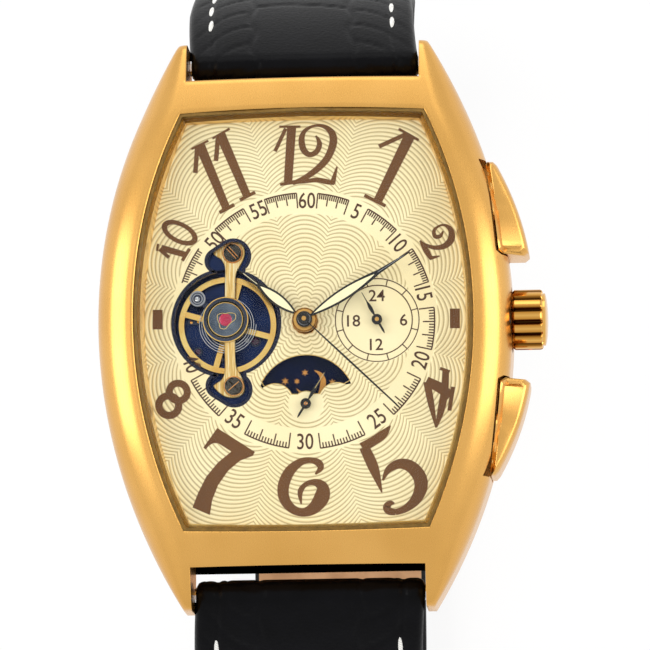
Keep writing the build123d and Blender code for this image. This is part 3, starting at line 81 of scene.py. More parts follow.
def cut_out(piece, cutters):
    """Takes closed shapes out of a piece for good, and clears them away."""
    made = []
    for points, faces in cutters:
        mesh = metre_mesh("cutter", points, faces)
        work = bmesh.new()
        work.from_mesh(mesh)
        bmesh.ops.recalc_face_normals(work, faces=work.faces)
        work.to_mesh(mesh)
        work.free()
        made.append(new_object("cutter", mesh))
        cut = piece.modifiers.new("cut", "BOOLEAN")
        cut.object = made[-1]
        cut.operation = "DIFFERENCE"
        cut.solver = "EXACT"
    mesh = apply_live(piece)
    for cutter in made:
        bpy.data.objects.remove(cutter)
    return mesh


def make_piece(name, points, faces, materials, body, slot, crease=35.0, weld=True, outward=True, kinds=None):
    """A piece from points in millimetres, riding on a body."""
    mesh = metre_mesh(name, points, faces)
    for material in materials:
        mesh.materials.append(material)
    if kinds is not None:
        mesh.polygons.foreach_set("material_index", np.asarray(kinds, dtype=np.int32))
    work = bmesh.new()
    work.from_mesh(mesh)
    if weld:
        bmesh.ops.remove_doubles(work, verts=work.verts, dist=WELD)
    if outward:
        bmesh.ops.recalc_face_normals(work, faces=work.faces)
    work.to_mesh(mesh)
    work.free()
    finish_mesh(mesh, crease)
    piece = new_object(name, mesh)
    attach(piece, body)
    return piece


def grid_faces(rows, columns, closed_rows=False, closed_columns=False, start=0):
    """Quads of a grid of points that lie row after row."""
    faces = []
    for i in range(rows if closed_rows else rows - 1):
        near, far = start + i * columns, start + (i + 1) % rows * columns
        for j in range(columns if closed_columns else columns - 1):
            after = (j + 1) % columns
            faces.append((near + j, near + after, far + after, far + j))
    return faces


def plate_points(outline, bottom, top, bevel=0.0):
    """Points and faces of a flat plate with an outline, its upper edge bevelled."""
    outline = np.asarray(outline, dtype=float)
    count = len(outline)
    rings = [(outline, bottom)]
    if bevel > 0:
        rings.append((outline, top - bevel))
        rings.append((inset(outline, bevel), top))
    else:
        rings.append((outline, top))
    points = [(x, y, z) for ring, z in rings for x, y in ring]
    faces = grid_faces(len(rings), count, closed_columns=True)
    faces.append(tuple(range(count))[::-1])
    faces.append(tuple((len(rings) - 1) * count + i for i in range(count)))
    return points, faces


def inset(outline, amount):
    """Outline moved inwards by an amount, for one that runs anticlockwise."""
    outline = np.asarray(outline, dtype=float)
    xs, ys = outline[:, 0], outline[:, 1]
    area = 0.5 * np.sum(xs * np.roll(ys, -1) - np.roll(xs, -1) * ys)
    sign = 1.0 if area > 0 else -1.0
    before = outline - np.roll(outline, 1, axis=0)
    after = np.roll(outline, -1, axis=0) - outline
    before /= np.maximum(np.linalg.norm(before, axis=1), 1e-9)[:, None]
    after /= np.maximum(np.linalg.norm(after, axis=1), 1e-9)[:, None]
    normals = np.stack([-(before[:, 1] + after[:, 1]), before[:, 0] + after[:, 0]], axis=1) * sign
    length = np.maximum(np.linalg.norm(normals, axis=1), 1e-6)
    normals /= length[:, None]
    return outline + normals * amount


def join_points(parts):
    """Several sets of points and faces as one."""
    points, faces = [], []
    for some_points, some_faces in parts:
        start = len(points)
        points.extend(some_points)
        faces.extend(tuple(i + start for i in face) for face in some_faces)
    return points, faces


def turned(points, angle):
    """Points turned about the watch's upright axis, the angle clockwise from 12 o'clock."""
    c, s = math.cos(math.radians(-angle)), math.sin(math.radians(-angle))
    return [(c * p[0] - s * p[1], s * p[0] + c * p[1]) + tuple(p[2:]) for p in points]


def between_rings(first, last):
    """A closed shape between two rings of as many points."""
    count = len(first)
    faces = grid_faces(2, count, closed_columns=True)
    return first + last, faces + [tuple(range(count))[::-1], tuple(range(count, 2 * count))]


def prism(outline, low, high):
    """A closed upright shape from an outline."""
    return between_rings([(x, y, low) for x, y in outline], [(x, y, high) for x, y in outline])


# Material making

def calc(tree, kind, a, b=None, c=None, clamp=False):
    """A Math node on sockets or numbers."""
    made = tree.nodes.new("ShaderNodeMath")
    made.operation = kind
    made.use_clamp = clamp
    for place, value in enumerate((a, b, c)):
        if value is None:
            continue
        if isinstance(value, (int, float)):
            made.inputs[place].default_value = value
        else:
            tree.links.new(value, made.inputs[place])
    return made.outputs[0]


def square(tree, value):
    """A value times itself."""
    return calc(tree, "MULTIPLY", value, value)


def distance_from(tree, a, b):
    """The length of the diagonal of two distances."""
    return calc(tree, "SQRT", calc(tree, "ADD", square(tree, a), square(tree, b)))


def blank_material(name):
    """An empty node material with its output, and the shader it will use."""
    material = bpy.data.materials.new(name)
    material.use_nodes = True
    tree = material.node_tree
    tree.nodes.clear()
    shader = tree.nodes.new("ShaderNodeBsdfPrincipled")
    output = tree.nodes.new("ShaderNodeOutputMaterial")
    tree.links.new(shader.outputs[0], output.inputs["Surface"])
    return material, tree, shader


def place_of(tree, stretch=(1.0, 1.0, 1.0), turn=(0.0, 0.0, 0.0)):
    """Object coordinates in millimetres, turned and stretched for a grain."""
    where = tree.nodes.new("ShaderNodeTexCoord")
    mapping = tree.nodes.new("ShaderNodeMapping")
    mapping.inputs["Rotation"].default_value = turn
    mapping.inputs["Scale"].default_value = tuple(s / MM for s in stretch)
    tree.links.new(where.outputs["Object"], mapping.inputs["Vector"])
    return mapping.outputs[0]


def noise(tree, place, scale, detail=3.0, roughness=0.5):
    """A cloudy value from 0 to 1."""
    made = tree.nodes.new("ShaderNodeTexNoise")
    made.inputs["Scale"].default_value = scale
    made.inputs["Detail"].default_value = detail
    made.inputs["Roughness"].default_value = roughness
    tree.links.new(place, made.inputs["Vector"])
    return made.outputs["Fac"]


def ramp(tree, value, stops):
    """A colour or a grey that follows a value."""
    made = tree.nodes.new("ShaderNodeValToRGB")
    band = made.color_ramp
    while len(band.elements) < len(stops):
        band.elements.new(0.5)
    for element, (position, colour) in zip(band.elements, stops):
        element.position = position
        element.color = colour if len(colour) == 4 else tuple(colour) + (1.0,)
    tree.links.new(value, made.inputs["Fac"])
    return made.outputs["Color"]


def spread(tree, value, low, high):
    """A value from 0 to 1 spread between two others."""
    made = tree.nodes.new("ShaderNodeMapRange")
    made.inputs["To Min"].default_value = low
    made.inputs["To Max"].default_value = high
    tree.links.new(value, made.inputs["Value"])
    return made.outputs["Result"]


def bump(tree, shader, height, depth, strength=1.0):
    """Relief on a shader, its depth in millimetres."""
    made = tree.nodes.new("ShaderNodeBump")
    made.inputs["Distance"].default_value = depth * MM
    made.inputs["Strength"].default_value = strength
    tree.links.new(height, made.inputs["Height"])
    tree.links.new(made.outputs["Normal"], shader.inputs["Normal"])


def metal(name, dark, light, rough=(0.2, 0.3), grain=(3.0, 3.0, 3.0), depth=0.004,
          turn=(0.0, 0.0, 0.0), scale=1.0, coat=0.0):
    """Polished or brushed metal, with a faint drift of colour and a fine grain."""
    material, tree, shader = blank_material(name)
    wide = noise(tree, place_of(tree), 0.12 * scale, 2.0)
    colour = ramp(tree, wide, [(0.3, dark), (0.7, light)])
    tree.links.new(colour, shader.inputs["Base Color"])
    fine = noise(tree, place_of(tree, grain, turn), 1.0 * scale, 4.0, 0.6)
    tree.links.new(spread(tree, fine, rough[0], rough[1]), shader.inputs["Roughness"])
    shader.inputs["Metallic"].default_value = 1.0
    shader.inputs["Coat Weight"].default_value = coat
    shader.inputs["Coat Roughness"].default_value = 0.28
    bump(tree, shader, fine, depth, 0.6)
    return material


def linear(red, green, blue):
    """A screen colour from 0 to 255 as light, by the usual screen curve."""
    return tuple(((c / 255.0 + 0.055) / 1.055) ** 2.4 if c > 10 else c / 3294.6 for c in (red, green, blue))


gold = metal("satin_gold", linear(216, 162, 80), linear(228, 174, 92),
             rough=(0.24, 0.31), grain=(4.0, 0.8, 4.0), depth=0.001, coat=0.3)
bright_gold = metal("polished_gold", linear(226, 172, 88), linear(240, 192, 108),
                    rough=(0.12, 0.18), grain=(5.0, 5.0, 5.0), depth=0.0008)
# Darker, rougher gold for the end walls between the lugs: its darkness is painted shade.
painted_shade_gold = metal("gold_with_painted_shade", linear(150, 108, 62), linear(176, 132, 80), rough=(0.4, 0.5), depth=0.001)


# Leather, thread and lining

def leather_material():
    """Black calf with a fine grain. The scales pressed into it are part of the strap's mesh."""
    material, tree, shader = blank_material("black_leather")
    place = place_of(tree)
    grain = noise(tree, place, 3.5, 5.0, 0.65)
    patches = noise(tree, place, 0.35, 2.0)
    colour = ramp(tree, patches, [(0.3, (0.0008, 0.0008, 0.0013)), (0.75, (0.002, 0.002, 0.003))])
    tree.links.new(colour, shader.inputs["Base Color"])
    tree.links.new(spread(tree, grain, 0.24, 0.42), shader.inputs["Roughness"])
    cells = tree.nodes.new("ShaderNodeTexVoronoi")
    cells.inputs["Scale"].default_value = 2.6
    tree.links.new(place, cells.inputs["Vector"])
    pores = calc(tree, "MULTIPLY", cells.outputs["Distance"], 0.4)
    bump(tree, shader, calc(tree, "ADD", calc(tree, "MULTIPLY", grain, 0.6), pores), 0.06, 0.5)
    shader.inputs["Specular IOR Level"].default_value = 0.08
    return material


def lining_material():
    """Tan nubuck on the side that touches the wrist; its real tan is darkened all over as painted shade."""
    material, tree, shader = blank_material("tan_lining")
    place = place_of(tree)
    nap = noise(tree, place, 6.0, 6.0, 0.7)
    patches = noise(tree, place, 0.4, 3.0)
    colour = ramp(tree, patches, [(0.25, linear(150, 110, 74)), (0.8, linear(182, 140, 100))])
    tree.links.new(colour, shader.inputs["Base Color"])
    tree.links.new(spread(tree, nap, 0.7, 0.9), shader.inputs["Roughness"])
    bump(tree, shader, nap, 0.05, 0.5)
    shader.inputs["Sheen Weight"].default_value = 0.2
    return material


def thread_material():
    """White waxed linen thread, its twist seen as slanting ridges."""
    material, tree, shader = blank_material("white_thread")
    place = place_of(tree)
    twist = tree.nodes.new("ShaderNodeTexWave")
    twist.bands_direction = "DIAGONAL"
    twist.inputs["Scale"].default_value = 1.6
    twist.inputs["Distortion"].default_value = 0.6
    tree.links.new(place, twist.inputs["Vector"])
    colour = ramp(tree, twist.outputs["Fac"], [(0.2, linear(214, 212, 206)), (0.7, linear(240, 239, 234))])
    tree.links.new(colour, shader.inputs["Base Color"])
    shader.inputs["Roughness"].default_value = 0.6
    bump(tree, shader, twist.outputs["Fac"], 0.05, 0.6)
    return material


leather = leather_material()
lining = lining_material()
thread = thread_material()


# Case

# Barrel sides, lug tips and the walls between the lugs
HALF = 19.75
SIDE_RADIUS = 51.6
LUG_HALF = 27.3
LUG_INNER = 11.15
LUG_TIP = 0.7
END_WALL = 23.4
WALL_LEAN = 1.25

# Opening over the dial
OPEN_HALF = 16.15
OPEN_RADIUS = 47.0
OPEN_END = 20.05
OPEN_ARCH = 0.25

# Double curved face, its rounded shoulder and its lower edge
APEX = 13.0
ALONG = 75.0
ACROSS = 90.0
SHOULDER = 3.1
EDGE = 0.2
CASE_BOTTOM = 1.0
UNDER = 0.8
CASE_WELD = 2e-6
CASE_CREASE = 28

# Steps across the bezel at 12 and 6, and along a lug, as shares
END_STEP_SHARES = [0.0, 0.03, 0.06, 0.15, 0.35, 0.6, 0.85, 0.94, 0.97, 1.0]
LUG_STEP_SHARES = [0.05, 0.15, 0.3, 0.45, 0.6, 0.75, 0.86, 0.93, 0.97, 1.0]
SHOULDER_STEPS = 11
FLAT_STEPS = 5


def bowed(y, half, radius):
    """Half the width of a barrel outline at a place along it."""
    return half - radius + math.sqrt(radius * radius - y * y)


def crown_z(x, y, apex=APEX):
    """Height of the double curved bezel and crystal."""
    reach = ALONG - ACROSS + math.sqrt(ACROSS**2 - x * x)
    return apex - ALONG + math.sqrt(reach * reach - y * y)


def arch_y(x):
    """End of the opening over the dial at a place across it."""
    corner = bowed(OPEN_END, OPEN_HALF, OPEN_RADIUS)
    return OPEN_END + OPEN_ARCH * (1.0 - (x / corner) ** 2)


def case_sheet():
    """The bezel and lugs seen from above, as joined strips of places with a height each."""
    corner = bowed(OPEN_END, OPEN_HALF, OPEN_RADIUS)
    upper = [OPEN_END + (END_WALL - OPEN_END) * s for s in END_STEP_SHARES]
    upper += [END_WALL + (LUG_HALF - END_WALL) * s for s in LUG_STEP_SHARES]
    stations = [-y for y in upper[::-1]] + list(np.linspace(-OPEN_END, OPEN_END, 61)[1:-1]) + upper

    def inner_x(y):
        a = abs(y)
        if a <= OPEN_END + 1e-9:
            return bowed(y, OPEN_HALF, OPEN_RADIUS)
        if a < END_WALL:
            return corner + (LUG_INNER - corner) * (a - OPEN_END) / (END_WALL - OPEN_END)
        return LUG_INNER

    points, faces, lower = [], [], []
    for side in (1, -1):
        start = len(points)
        for y in stations:
            outer, inner = bowed(y, HALF, SIDE_RADIUS), inner_x(y)
            width = outer - inner
            round_off = min(SHOULDER, 0.8 * width)
            edge = min(EDGE, 0.1 * width)
            tip = max(0.0, abs(y) - (LUG_HALF - LUG_TIP)) / LUG_TIP
            free = abs(y) <= OPEN_END + 1e-9 or abs(y) >= END_WALL - 1e-9
            turns = np.linspace(0, math.pi / 2, SHOULDER_STEPS)
            across = [(round_off * (1 - math.cos(t)), round_off * (1 - math.sin(t))) for t in turns]
            rest = width - round_off - edge
            across += [(round_off + rest * k / FLAT_STEPS, 0.0) for k in range(1, FLAT_STEPS + 1)]
            across.append((width - 0.45 * edge, 0.12 * edge if free else 0.0))
            across.append((width, 0.6 * edge if free else 0.0))
            for depth, drop in across:
                x = outer - depth
                z = crown_z(x, y) - drop - LUG_TIP * (1 - math.sqrt(max(0.0, 1 - tip * tip)))
                points.append((side * x, y, z))
                lower.append(CASE_BOTTOM + max(0.0, UNDER - depth, UNDER - (LUG_HALF - abs(y))))
        faces += grid_faces(len(stations), SHOULDER_STEPS + FLAT_STEPS + 2, start=start)
    for end in (1, -1):
        start = len(points)
        columns = np.linspace(-1, 1, 41)
        for step in END_STEP_SHARES:
            for a in columns:
                x = a * (corner + (LUG_INNER - corner) * step)
                y = arch_y(a * corner) * (1 - step) + END_WALL * step
                z = crown_z(x, y)
                if step in (0.0, 1.0):
                    z -= 0.6 * EDGE
                elif step in (0.03, 0.97):
                    z -= 0.12 * EDGE
                points.append((x, end * y, z))
                lower.append(CASE_BOTTOM)
        faces += grid_faces(len(END_STEP_SHARES), len(columns), start=start)
    return points, faces, lower


def build_case():
    """Closed shell of the case, with pockets for the pushers and a well for the crown."""
    points, faces, lower = case_sheet()
    mesh = metre_mesh("case_shell", points, faces)
    work = bmesh.new()
    work.from_mesh(mesh)
    mark = work.verts.layers.float.new("lower")
    work.verts.ensure_lookup_table()
    for vert, z in zip(work.verts, lower):
        vert[mark] = z * MM
    bmesh.ops.remove_doubles(work, verts=work.verts, dist=CASE_WELD)
    bmesh.ops.recalc_face_normals(work, faces=work.faces)
    if sum(face.normal.z for face in work.faces) < 0:
        bmesh.ops.reverse_faces(work, faces=work.faces)
    border = [edge for edge in work.edges if len(edge.link_faces) == 1]
    under = {}
    for vert in list(work.verts):
        x, y = vert.co.x, vert.co.y
        on_wall = abs(x) < (LUG_INNER + 0.01) * MM and abs(abs(y) - END_WALL * MM) < 0.02 * MM
        if on_wall:
            y -= math.copysign(WALL_LEAN * MM, y)
        under[vert] = work.verts.new((x, y, vert[mark]))
    for face in list(work.faces):
        work.faces.new([under[vert] for vert in face.verts][::-1])
    for edge in border:
        loop = edge.link_loops[0]
        first, second = loop.vert, loop.link_loop_next.vert
        work.faces.new((second, first, under[first], under[second]))
    bmesh.ops.recalc_face_normals(work, faces=work.faces)
    work.to_mesh(mesh)
    work.free()
    piece = new_object("case_shell", mesh)
    made = cut_out(piece, case_cutters())
    made.materials.clear()
    made.materials.append(gold)
    made.materials.append(painted_shade_gold)
    # The end walls between the lugs take the darker gold as painted shade where they face the strap.
    for face in made.polygons:
        x, y, z = (c / MM for c in face.center)
        if abs(face.normal.z) < 0.3 and abs(x) < LUG_INNER - 0.05 and abs(y) > END_WALL - 0.3:
            face.material_index = 1
    finish_mesh(made, CASE_CREASE)
    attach(piece, "case")
    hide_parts("case_body")


# Crown: its axis, body and ridges, and the well that it stands in
CROWN_Z = 6.0
CROWN_RADIUS = 2.88
CROWN_RIDGES = 14
WELL_RADIUS = 3.15
WELL_START = 18.8
WELL_END = 24.0

# Pushers: their ends along the case, how far they stand out and in, their face, and their pockets
TIP_Y = 15.1
HEEL_Y = 5.9
INNER_DEPTH = 0.95
PUSHER_FACE = 8.3
PUSHER_RIM = 7.0
POCKET_GAP = 0.12
POCKET_FLOOR = 3.08
POCKET_TOP = 15.0
PUSHER_ROOM = 0.66
CEILING_GAP = 0.26


def case_cutters():
    """Shapes of the crown's well and of the pushers' pockets, with room below the shoulder to slide in."""
    turns = np.linspace(0, 2 * math.pi, 49)[:-1]
    rings = [
        [(x, WELL_RADIUS * math.cos(t), CROWN_Z + WELL_RADIUS * math.sin(t)) for t in turns]
        for x in (WELL_START, WELL_END)
    ]
    made = [between_rings(*rings)]
    for side in (1, -1):
        outline = pusher_outline(side, POCKET_GAP)
        made.append(prism(outline, POCKET_FLOOR, POCKET_TOP))
        slid = [(x - PUSHER_ROOM, y, POCKET_FLOOR) for x, y in outline]
        ceiling = [(x - PUSHER_ROOM, y, pusher_top(x + POCKET_GAP, y) + CEILING_GAP) for x, y in outline]
        made.append(between_rings(slid, ceiling))
    return made


def shoulder_z(x, y):
    """Height of the case's rounded shoulder at a place near its flank."""
    depth = min(SHOULDER, max(0.0, bowed(y, HALF, SIDE_RADIUS) - x))
    return crown_z(x, y) - SHOULDER + math.sqrt(SHOULDER**2 - (SHOULDER - depth) ** 2)


def pusher_top(x, y, z=PUSHER_FACE):
    """Height of a pusher's face: it follows the shoulder by the case and falls off outwards."""
    flank = bowed(y, HALF, SIDE_RADIUS)
    lean = max(0.0, min(1.0, (flank + 1.0 - x) / 1.9))
    rise = min(1.6, max(0.0, shoulder_z(x - 0.1, y) - 0.12 - z)) if x < flank + 0.1 else 0.0
    return z + max(0.35 * lean, rise)


def pusher_outline(side, grow=0.0, pulled=0.0):
    """Outline of a pusher from above: thin at its tip, wide at its heel by the crown."""
    places = np.linspace(HEEL_Y - grow + pulled, TIP_Y + grow - pulled, 28)
    outer, inner = [], []
    for y in places:
        share = (y - HEEL_Y) / (TIP_Y - HEEL_Y)
        flank = bowed(y, HALF, SIDE_RADIUS)
        heel = 2.05 if side > 0 else 2.0
        proud = heel - 0.3 * share - (0.95 if side > 0 else 1.15) * share * share
        depth = INNER_DEPTH - 0.2 * share - 0.62 * share * share
        near_end = min(1.0, (y - places[0]) / 0.5, (places[-1] - y) / 0.5)
        middle, reach = flank + (proud - depth) / 2, (proud + depth) / 2 + grow - pulled
        soften = min(0.5, 0.4 * reach) * (1.0 - math.sqrt(max(0.0, 1.0 - (1.0 - near_end) ** 2)))
        reach = max(0.03, reach - soften)
        outer.append((middle + reach, side * y))
        inner.append((middle - reach, side * y))
    loop = outer + inner[::-1]
    return loop if side > 0 else loop[::-1]


build_case()


# Pushers and crown

# How far each ring of a pusher is pulled in from its outline, and its height
PUSHER_RINGS = [
    (0.35, 3.2), (0.0, 3.55), (0.0, 7.2), (0.05, 7.6),
    (0.16, 7.95), (0.34, 8.2), (0.42, 8.26), (0.56, PUSHER_FACE),
]


def build_pusher(name, body, node, side):
    """Pusher with a broad bevel round its upper face and a small one below."""
    rings = []
    for pulled, z in PUSHER_RINGS:
        outline = pusher_outline(side, 0.0, pulled)
        rings.append([(x, y, pusher_top(x, y, z) if z > PUSHER_RIM else z) for x, y in outline])
    count = len(rings[0])
    points = [p for ring in rings for p in ring]
    faces = grid_faces(len(rings), count, closed_columns=True)
    half = count // 2
    for ring in (0, len(rings) - 1):
        base = ring * count
        for k in range(half - 1):
            faces.append((base + k, base + k + 1, base + count - 2 - k, base + count - 1 - k))
    piece = make_piece(name, points, faces, [gold], body, "gold_small", crease=24)
    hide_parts(node)


build_pusher("pusher_upper_cap", "upper_pusher", "pusher_upper", 1)
build_pusher("pusher_lower_cap", "lower_pusher", "pusher_lower", -1)


# Crown: where its flutes end, and how deep they are
CROWN_FLUTE_RADIUS = 2.3
CROWN_FLUTE_END = 22.5
FLUTE_DEPTH = 0.42
FLUTE_STEPS = 12

# Places along the crown's axis with shares of its radius, and its cap as places and radii
CROWN_BODY_SHARES = [
    (19.55, 0.55), (19.57, 0.72), (19.72, 0.93), (19.95, 1.0), (22.35, 1.0), (22.5, 0.98), (22.6, 0.93),
]
CROWN_CAP = [(22.6, 2.5), (22.82, 2.5), (22.86, 2.42), (22.95, 2.1), (23.03, 1.5), (23.08, 0.8), (23.1, 0.25)]


def crown_material():
    """Polished crown: bright on its ridges, darkened to deep brown down in the grooves as painted shade."""
    material, tree, shader = blank_material("crown_gold")
    place = place_of(tree)
    split = tree.nodes.new("ShaderNodeSeparateXYZ")
    tree.links.new(place, split.inputs[0])
    rise = calc(tree, "SUBTRACT", split.outputs[2], CROWN_Z)
    turn = calc(tree, "ARCTAN2", rise, split.outputs[1])
    ridges = calc(tree, "MULTIPLY", turn, CROWN_RIDGES / (2 * math.pi))
    ridge = calc(tree, "FRACT", calc(tree, "ADD", ridges, float(CROWN_RIDGES)))
    groove = calc(tree, "MULTIPLY", calc(tree, "ABSOLUTE", calc(tree, "SUBTRACT", ridge, 0.5)), 2.0)
    outer = calc(tree, "GREATER_THAN", distance_from(tree, rise, split.outputs[1]), CROWN_FLUTE_RADIUS)
    fluted = calc(tree, "MULTIPLY", outer, calc(tree, "LESS_THAN", split.outputs[0], CROWN_FLUTE_END))
    # Colours from ridge to groove; the dark end is painted shade in the grooves.
    stops = [
        (0.0, linear(228, 176, 92)), (0.5, linear(196, 138, 58)),
        (0.72, linear(120, 76, 24)), (0.95, linear(58, 32, 8)),
    ]
    colour = ramp(tree, calc(tree, "MULTIPLY", groove, fluted), stops)
    tree.links.new(colour, shader.inputs["Base Color"])
    fine = noise(tree, place, 5.0, 3.0)
    tree.links.new(spread(tree, fine, 0.12, 0.2), shader.inputs["Roughness"])
    shader.inputs["Metallic"].default_value = 1.0
    bump(tree, shader, fine, 0.0008, 0.6)
    return material


crown_gold = crown_material()


def build_crown():
    """Crown with fourteen rounded ridges between narrow grooves, and a domed cap."""
    turns = CROWN_RIDGES * FLUTE_STEPS
    around = [2 * math.pi * (k + 0.5) / turns for k in range(turns)]
    points = []
    for x, share in CROWN_BODY_SHARES:
        for k, t in enumerate(around):
            local = abs(((k + 0.5) / FLUTE_STEPS) % 1.0 - 0.5) * 2
            groove = FLUTE_DEPTH * max(0.0, (local - 0.6) / 0.4) ** 1.3 + 0.06 * local**2
            r = (CROWN_RADIUS - groove) * share
            points.append((x, r * math.cos(t), CROWN_Z + r * math.sin(t)))
    for x, r in CROWN_CAP:
        points += [(x, r * math.cos(t), CROWN_Z + r * math.sin(t)) for t in around]
    rows = len(CROWN_BODY_SHARES) + len(CROWN_CAP)
    faces = grid_faces(rows, turns, closed_columns=True)
    faces.append(tuple(range(turns)))
    faces.append(tuple((rows - 1) * turns + k for k in range(turns)))
    piece = make_piece("crown_knurled", points, faces, [crown_gold], "crown", "gold_small", crease=40)
    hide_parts("crown")


build_crown()


# Crystal

def crystal_material():
    """Clear domed mineral crystal: what is behind it shows, and its face gleams."""
    material = bpy.data.materials.new("clear_crystal")
    material.use_nodes = True
    tree = material.node_tree
    tree.nodes.clear()
    clear = tree.nodes.new("ShaderNodeBsdfTransparent")
    clear.inputs["Color"].default_value = (0.985, 0.99, 0.985, 1.0)
    gleam = tree.nodes.new("ShaderNodeBsdfGlossy")
    gleam.inputs["Roughness"].default_value = 0.12
    facing = tree.nodes.new("ShaderNodeLayerWeight")
    facing.inputs["Blend"].default_value = 0.5
    grazing = calc(tree, "POWER", facing.outputs["Facing"], 5.0)
    share = calc(tree, "ADD", calc(tree, "MULTIPLY", grazing, 0.5), 0.006)
    mix = tree.nodes.new("ShaderNodeMixShader")
    output = tree.nodes.new("ShaderNodeOutputMaterial")
    tree.links.new(share, mix.inputs["Fac"])
    tree.links.new(clear.outputs[0], mix.inputs[1])
    tree.links.new(gleam.outputs[0], mix.inputs[2])
    tree.links.new(mix.outputs[0], output.inputs["Surface"])
    return material


# Crystal: the opening's sides drawn in by the gasket, its dome, its rounded rim and its thickness
PANE_HALF = 15.81
PANE_RADIUS = 46.66
PANE_END = 19.71
PANE_APEX = 13.12
PANE_RIM = 0.12
PANE_THICK = 1.2


def build_crystal():
    """Domed pane that fills the opening, its edge slightly rounded."""
    corner = bowed(PANE_END, PANE_HALF, PANE_RADIUS)
    across, along = np.linspace(-1, 1, 49), np.linspace(-1, 1, 61)
    points = []
    for top in (True, False):
        for b in along:
            for a in across:
                y = b * PANE_END
                x = a * bowed(y, PANE_HALF, PANE_RADIUS)
                y += b * OPEN_ARCH * (1.0 - min(1.0, abs(x / corner)) ** 2)
                near = max(abs(a), abs(b))
                rim = PANE_RIM * max(0.0, (near - 0.985) / 0.015)
                z = crown_z(x, y, PANE_APEX) - (rim if top else PANE_THICK)
                points.append((x, y, z))
    rows, columns = len(along), len(across)
    faces = grid_faces(rows, columns) + [f[::-1] for f in grid_faces(rows, columns, start=rows * columns)]
    lower = rows * columns
    border = [(0, j) for j in range(columns)] + [(i, columns - 1) for i in range(1, rows)]
    border += [(rows - 1, j) for j in range(columns - 2, -1, -1)] + [(i, 0) for i in range(rows - 2, 0, -1)]
    ids = [i * columns + j for i, j in border]
    for k, a in enumerate(ids):
        b = ids[(k + 1) % len(ids)]
        faces.append((b, a, lower + a, lower + b))
    piece = make_piece("crystal_dome", points, faces, [crystal_material()], "case", "crystal", crease=40)
    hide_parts("crystal")


build_crystal()


# Strap

# Spring bars, the strap's thickness at its ends and along it, and the bends down at the wrist's sides
BAR_Y = 25.6
BAR_Z = 3.2
END_RADIUS = 1.5
THICK_HALF = 1.1
SIDE_Z = -29.684
BEND_Y = 23.02

# Half widths by the case and by the buckle, where the strap narrows, and how far it hangs to the left
WIDE_HALF = 10.95
NARROW_HALF = 8.8
NARROW_FROM = -4.0
NARROW_RUN = 33.7
LEAN = 0.85

# Pressed scales: half width and pitch of the middle ones, pitch of the outer ones, and the smooth ends
COLUMN_HALF = 4.8
SCALE_PITCH = 5.2
SIDE_PITCH = 3.4
PLAIN_END = 6.5


def on_arc(centre_y, radius, t, half):
    """A point of the strap's middle line on an arc, with the way out and the half thickness."""
    c, s = math.cos(t), math.sin(t)
    return centre_y + radius * c, SIDE_Z + radius * s, c, s, half


def strap_line(sign, bend, flat_end, tail):
    """Middle line of a strap half in the side view, as points with the way out and the half thickness."""
    line = []
    run, drop = BEND_Y + bend - BAR_Y, BAR_Z - SIDE_Z
    arc = (run * run + drop * drop) / (2 * run)
    centre_y = BEND_Y + bend - arc
    start = math.atan2(drop, BAR_Y - centre_y)
    for t in np.linspace(start, 0, 90):
        share = 1 - t / start
        half = END_RADIUS + (THICK_HALF - END_RADIUS) * min(1.0, share)
        line.append(on_arc(centre_y, arc, t, half))
    for t in np.linspace(0, -math.pi / 2, 60)[1:]:
        line.append(on_arc(BEND_Y, bend, t, THICK_HALF))
    for y in np.linspace(BEND_Y, flat_end, 50)[1:]:
        line.append((y, SIDE_Z - bend, 0.0, -1.0, THICK_HALF))
    if tail > 0:
        for t in np.linspace(-math.pi / 2, -math.pi / 2 - tail, 40)[1:]:
            line.append(on_arc(-BEND_Y, bend, t, THICK_HALF))
    return [(sign * y, z, sign * ny, nz, half) for y, z, ny, nz, half in line]


def strap_half_width(z):
    """Half the width of the strap, which narrows towards the buckle."""
    share = min(1.0, max(0.0, (NARROW_FROM - z) / NARROW_RUN))
    return WIDE_HALF + (NARROW_HALF - WIDE_HALF) * share


def strap_lean(z):
    """How far the strap hangs to the left of its bar on its way down."""
    fall = min(1.0, max(0.0, (BAR_Z - z) / (BAR_Z - SIDE_Z)))
    return -LEAN * math.sin(math.pi * fall**0.75)


def scale_relief(x, s, half_width):
    """Depth of the pressed creases at a place across and along the strap, in millimetres."""
    column = COLUMN_HALF * half_width / WIDE_HALF
    creases = [math.exp(-(((abs(x) - column - 0.25 * math.sin(1.1 * s)) / 0.22) ** 2))]
    if abs(x) >= column:
        out = abs(x) - column
        place = (s + 1.4 + 0.16 * out * out * (1 if x > 0 else 1.2)) / SIDE_PITCH
        gap = abs(place - round(place)) * SIDE_PITCH
        creases.append(0.85 * math.exp(-((gap / 0.18) ** 2)))
        creases.append(0.5 * math.exp(-(((out - 3.1) / 0.16) ** 2)))
    elif s >= PLAIN_END:
        shift = 1.2 * math.sin(0.9 * (s // SCALE_PITCH))
        place = (s + 0.035 * x * x + 0.1 * shift * x) / SCALE_PITCH
        gap = abs(place - round(place)) * SCALE_PITCH
        creases.append(math.exp(-((gap / 0.2) ** 2)))
    return max(creases)


# Length of the rounded point of the tail, and rows of the leather's turn round the spring bar
TAIL_POINT = 6.5
WRAP_ROWS = 13


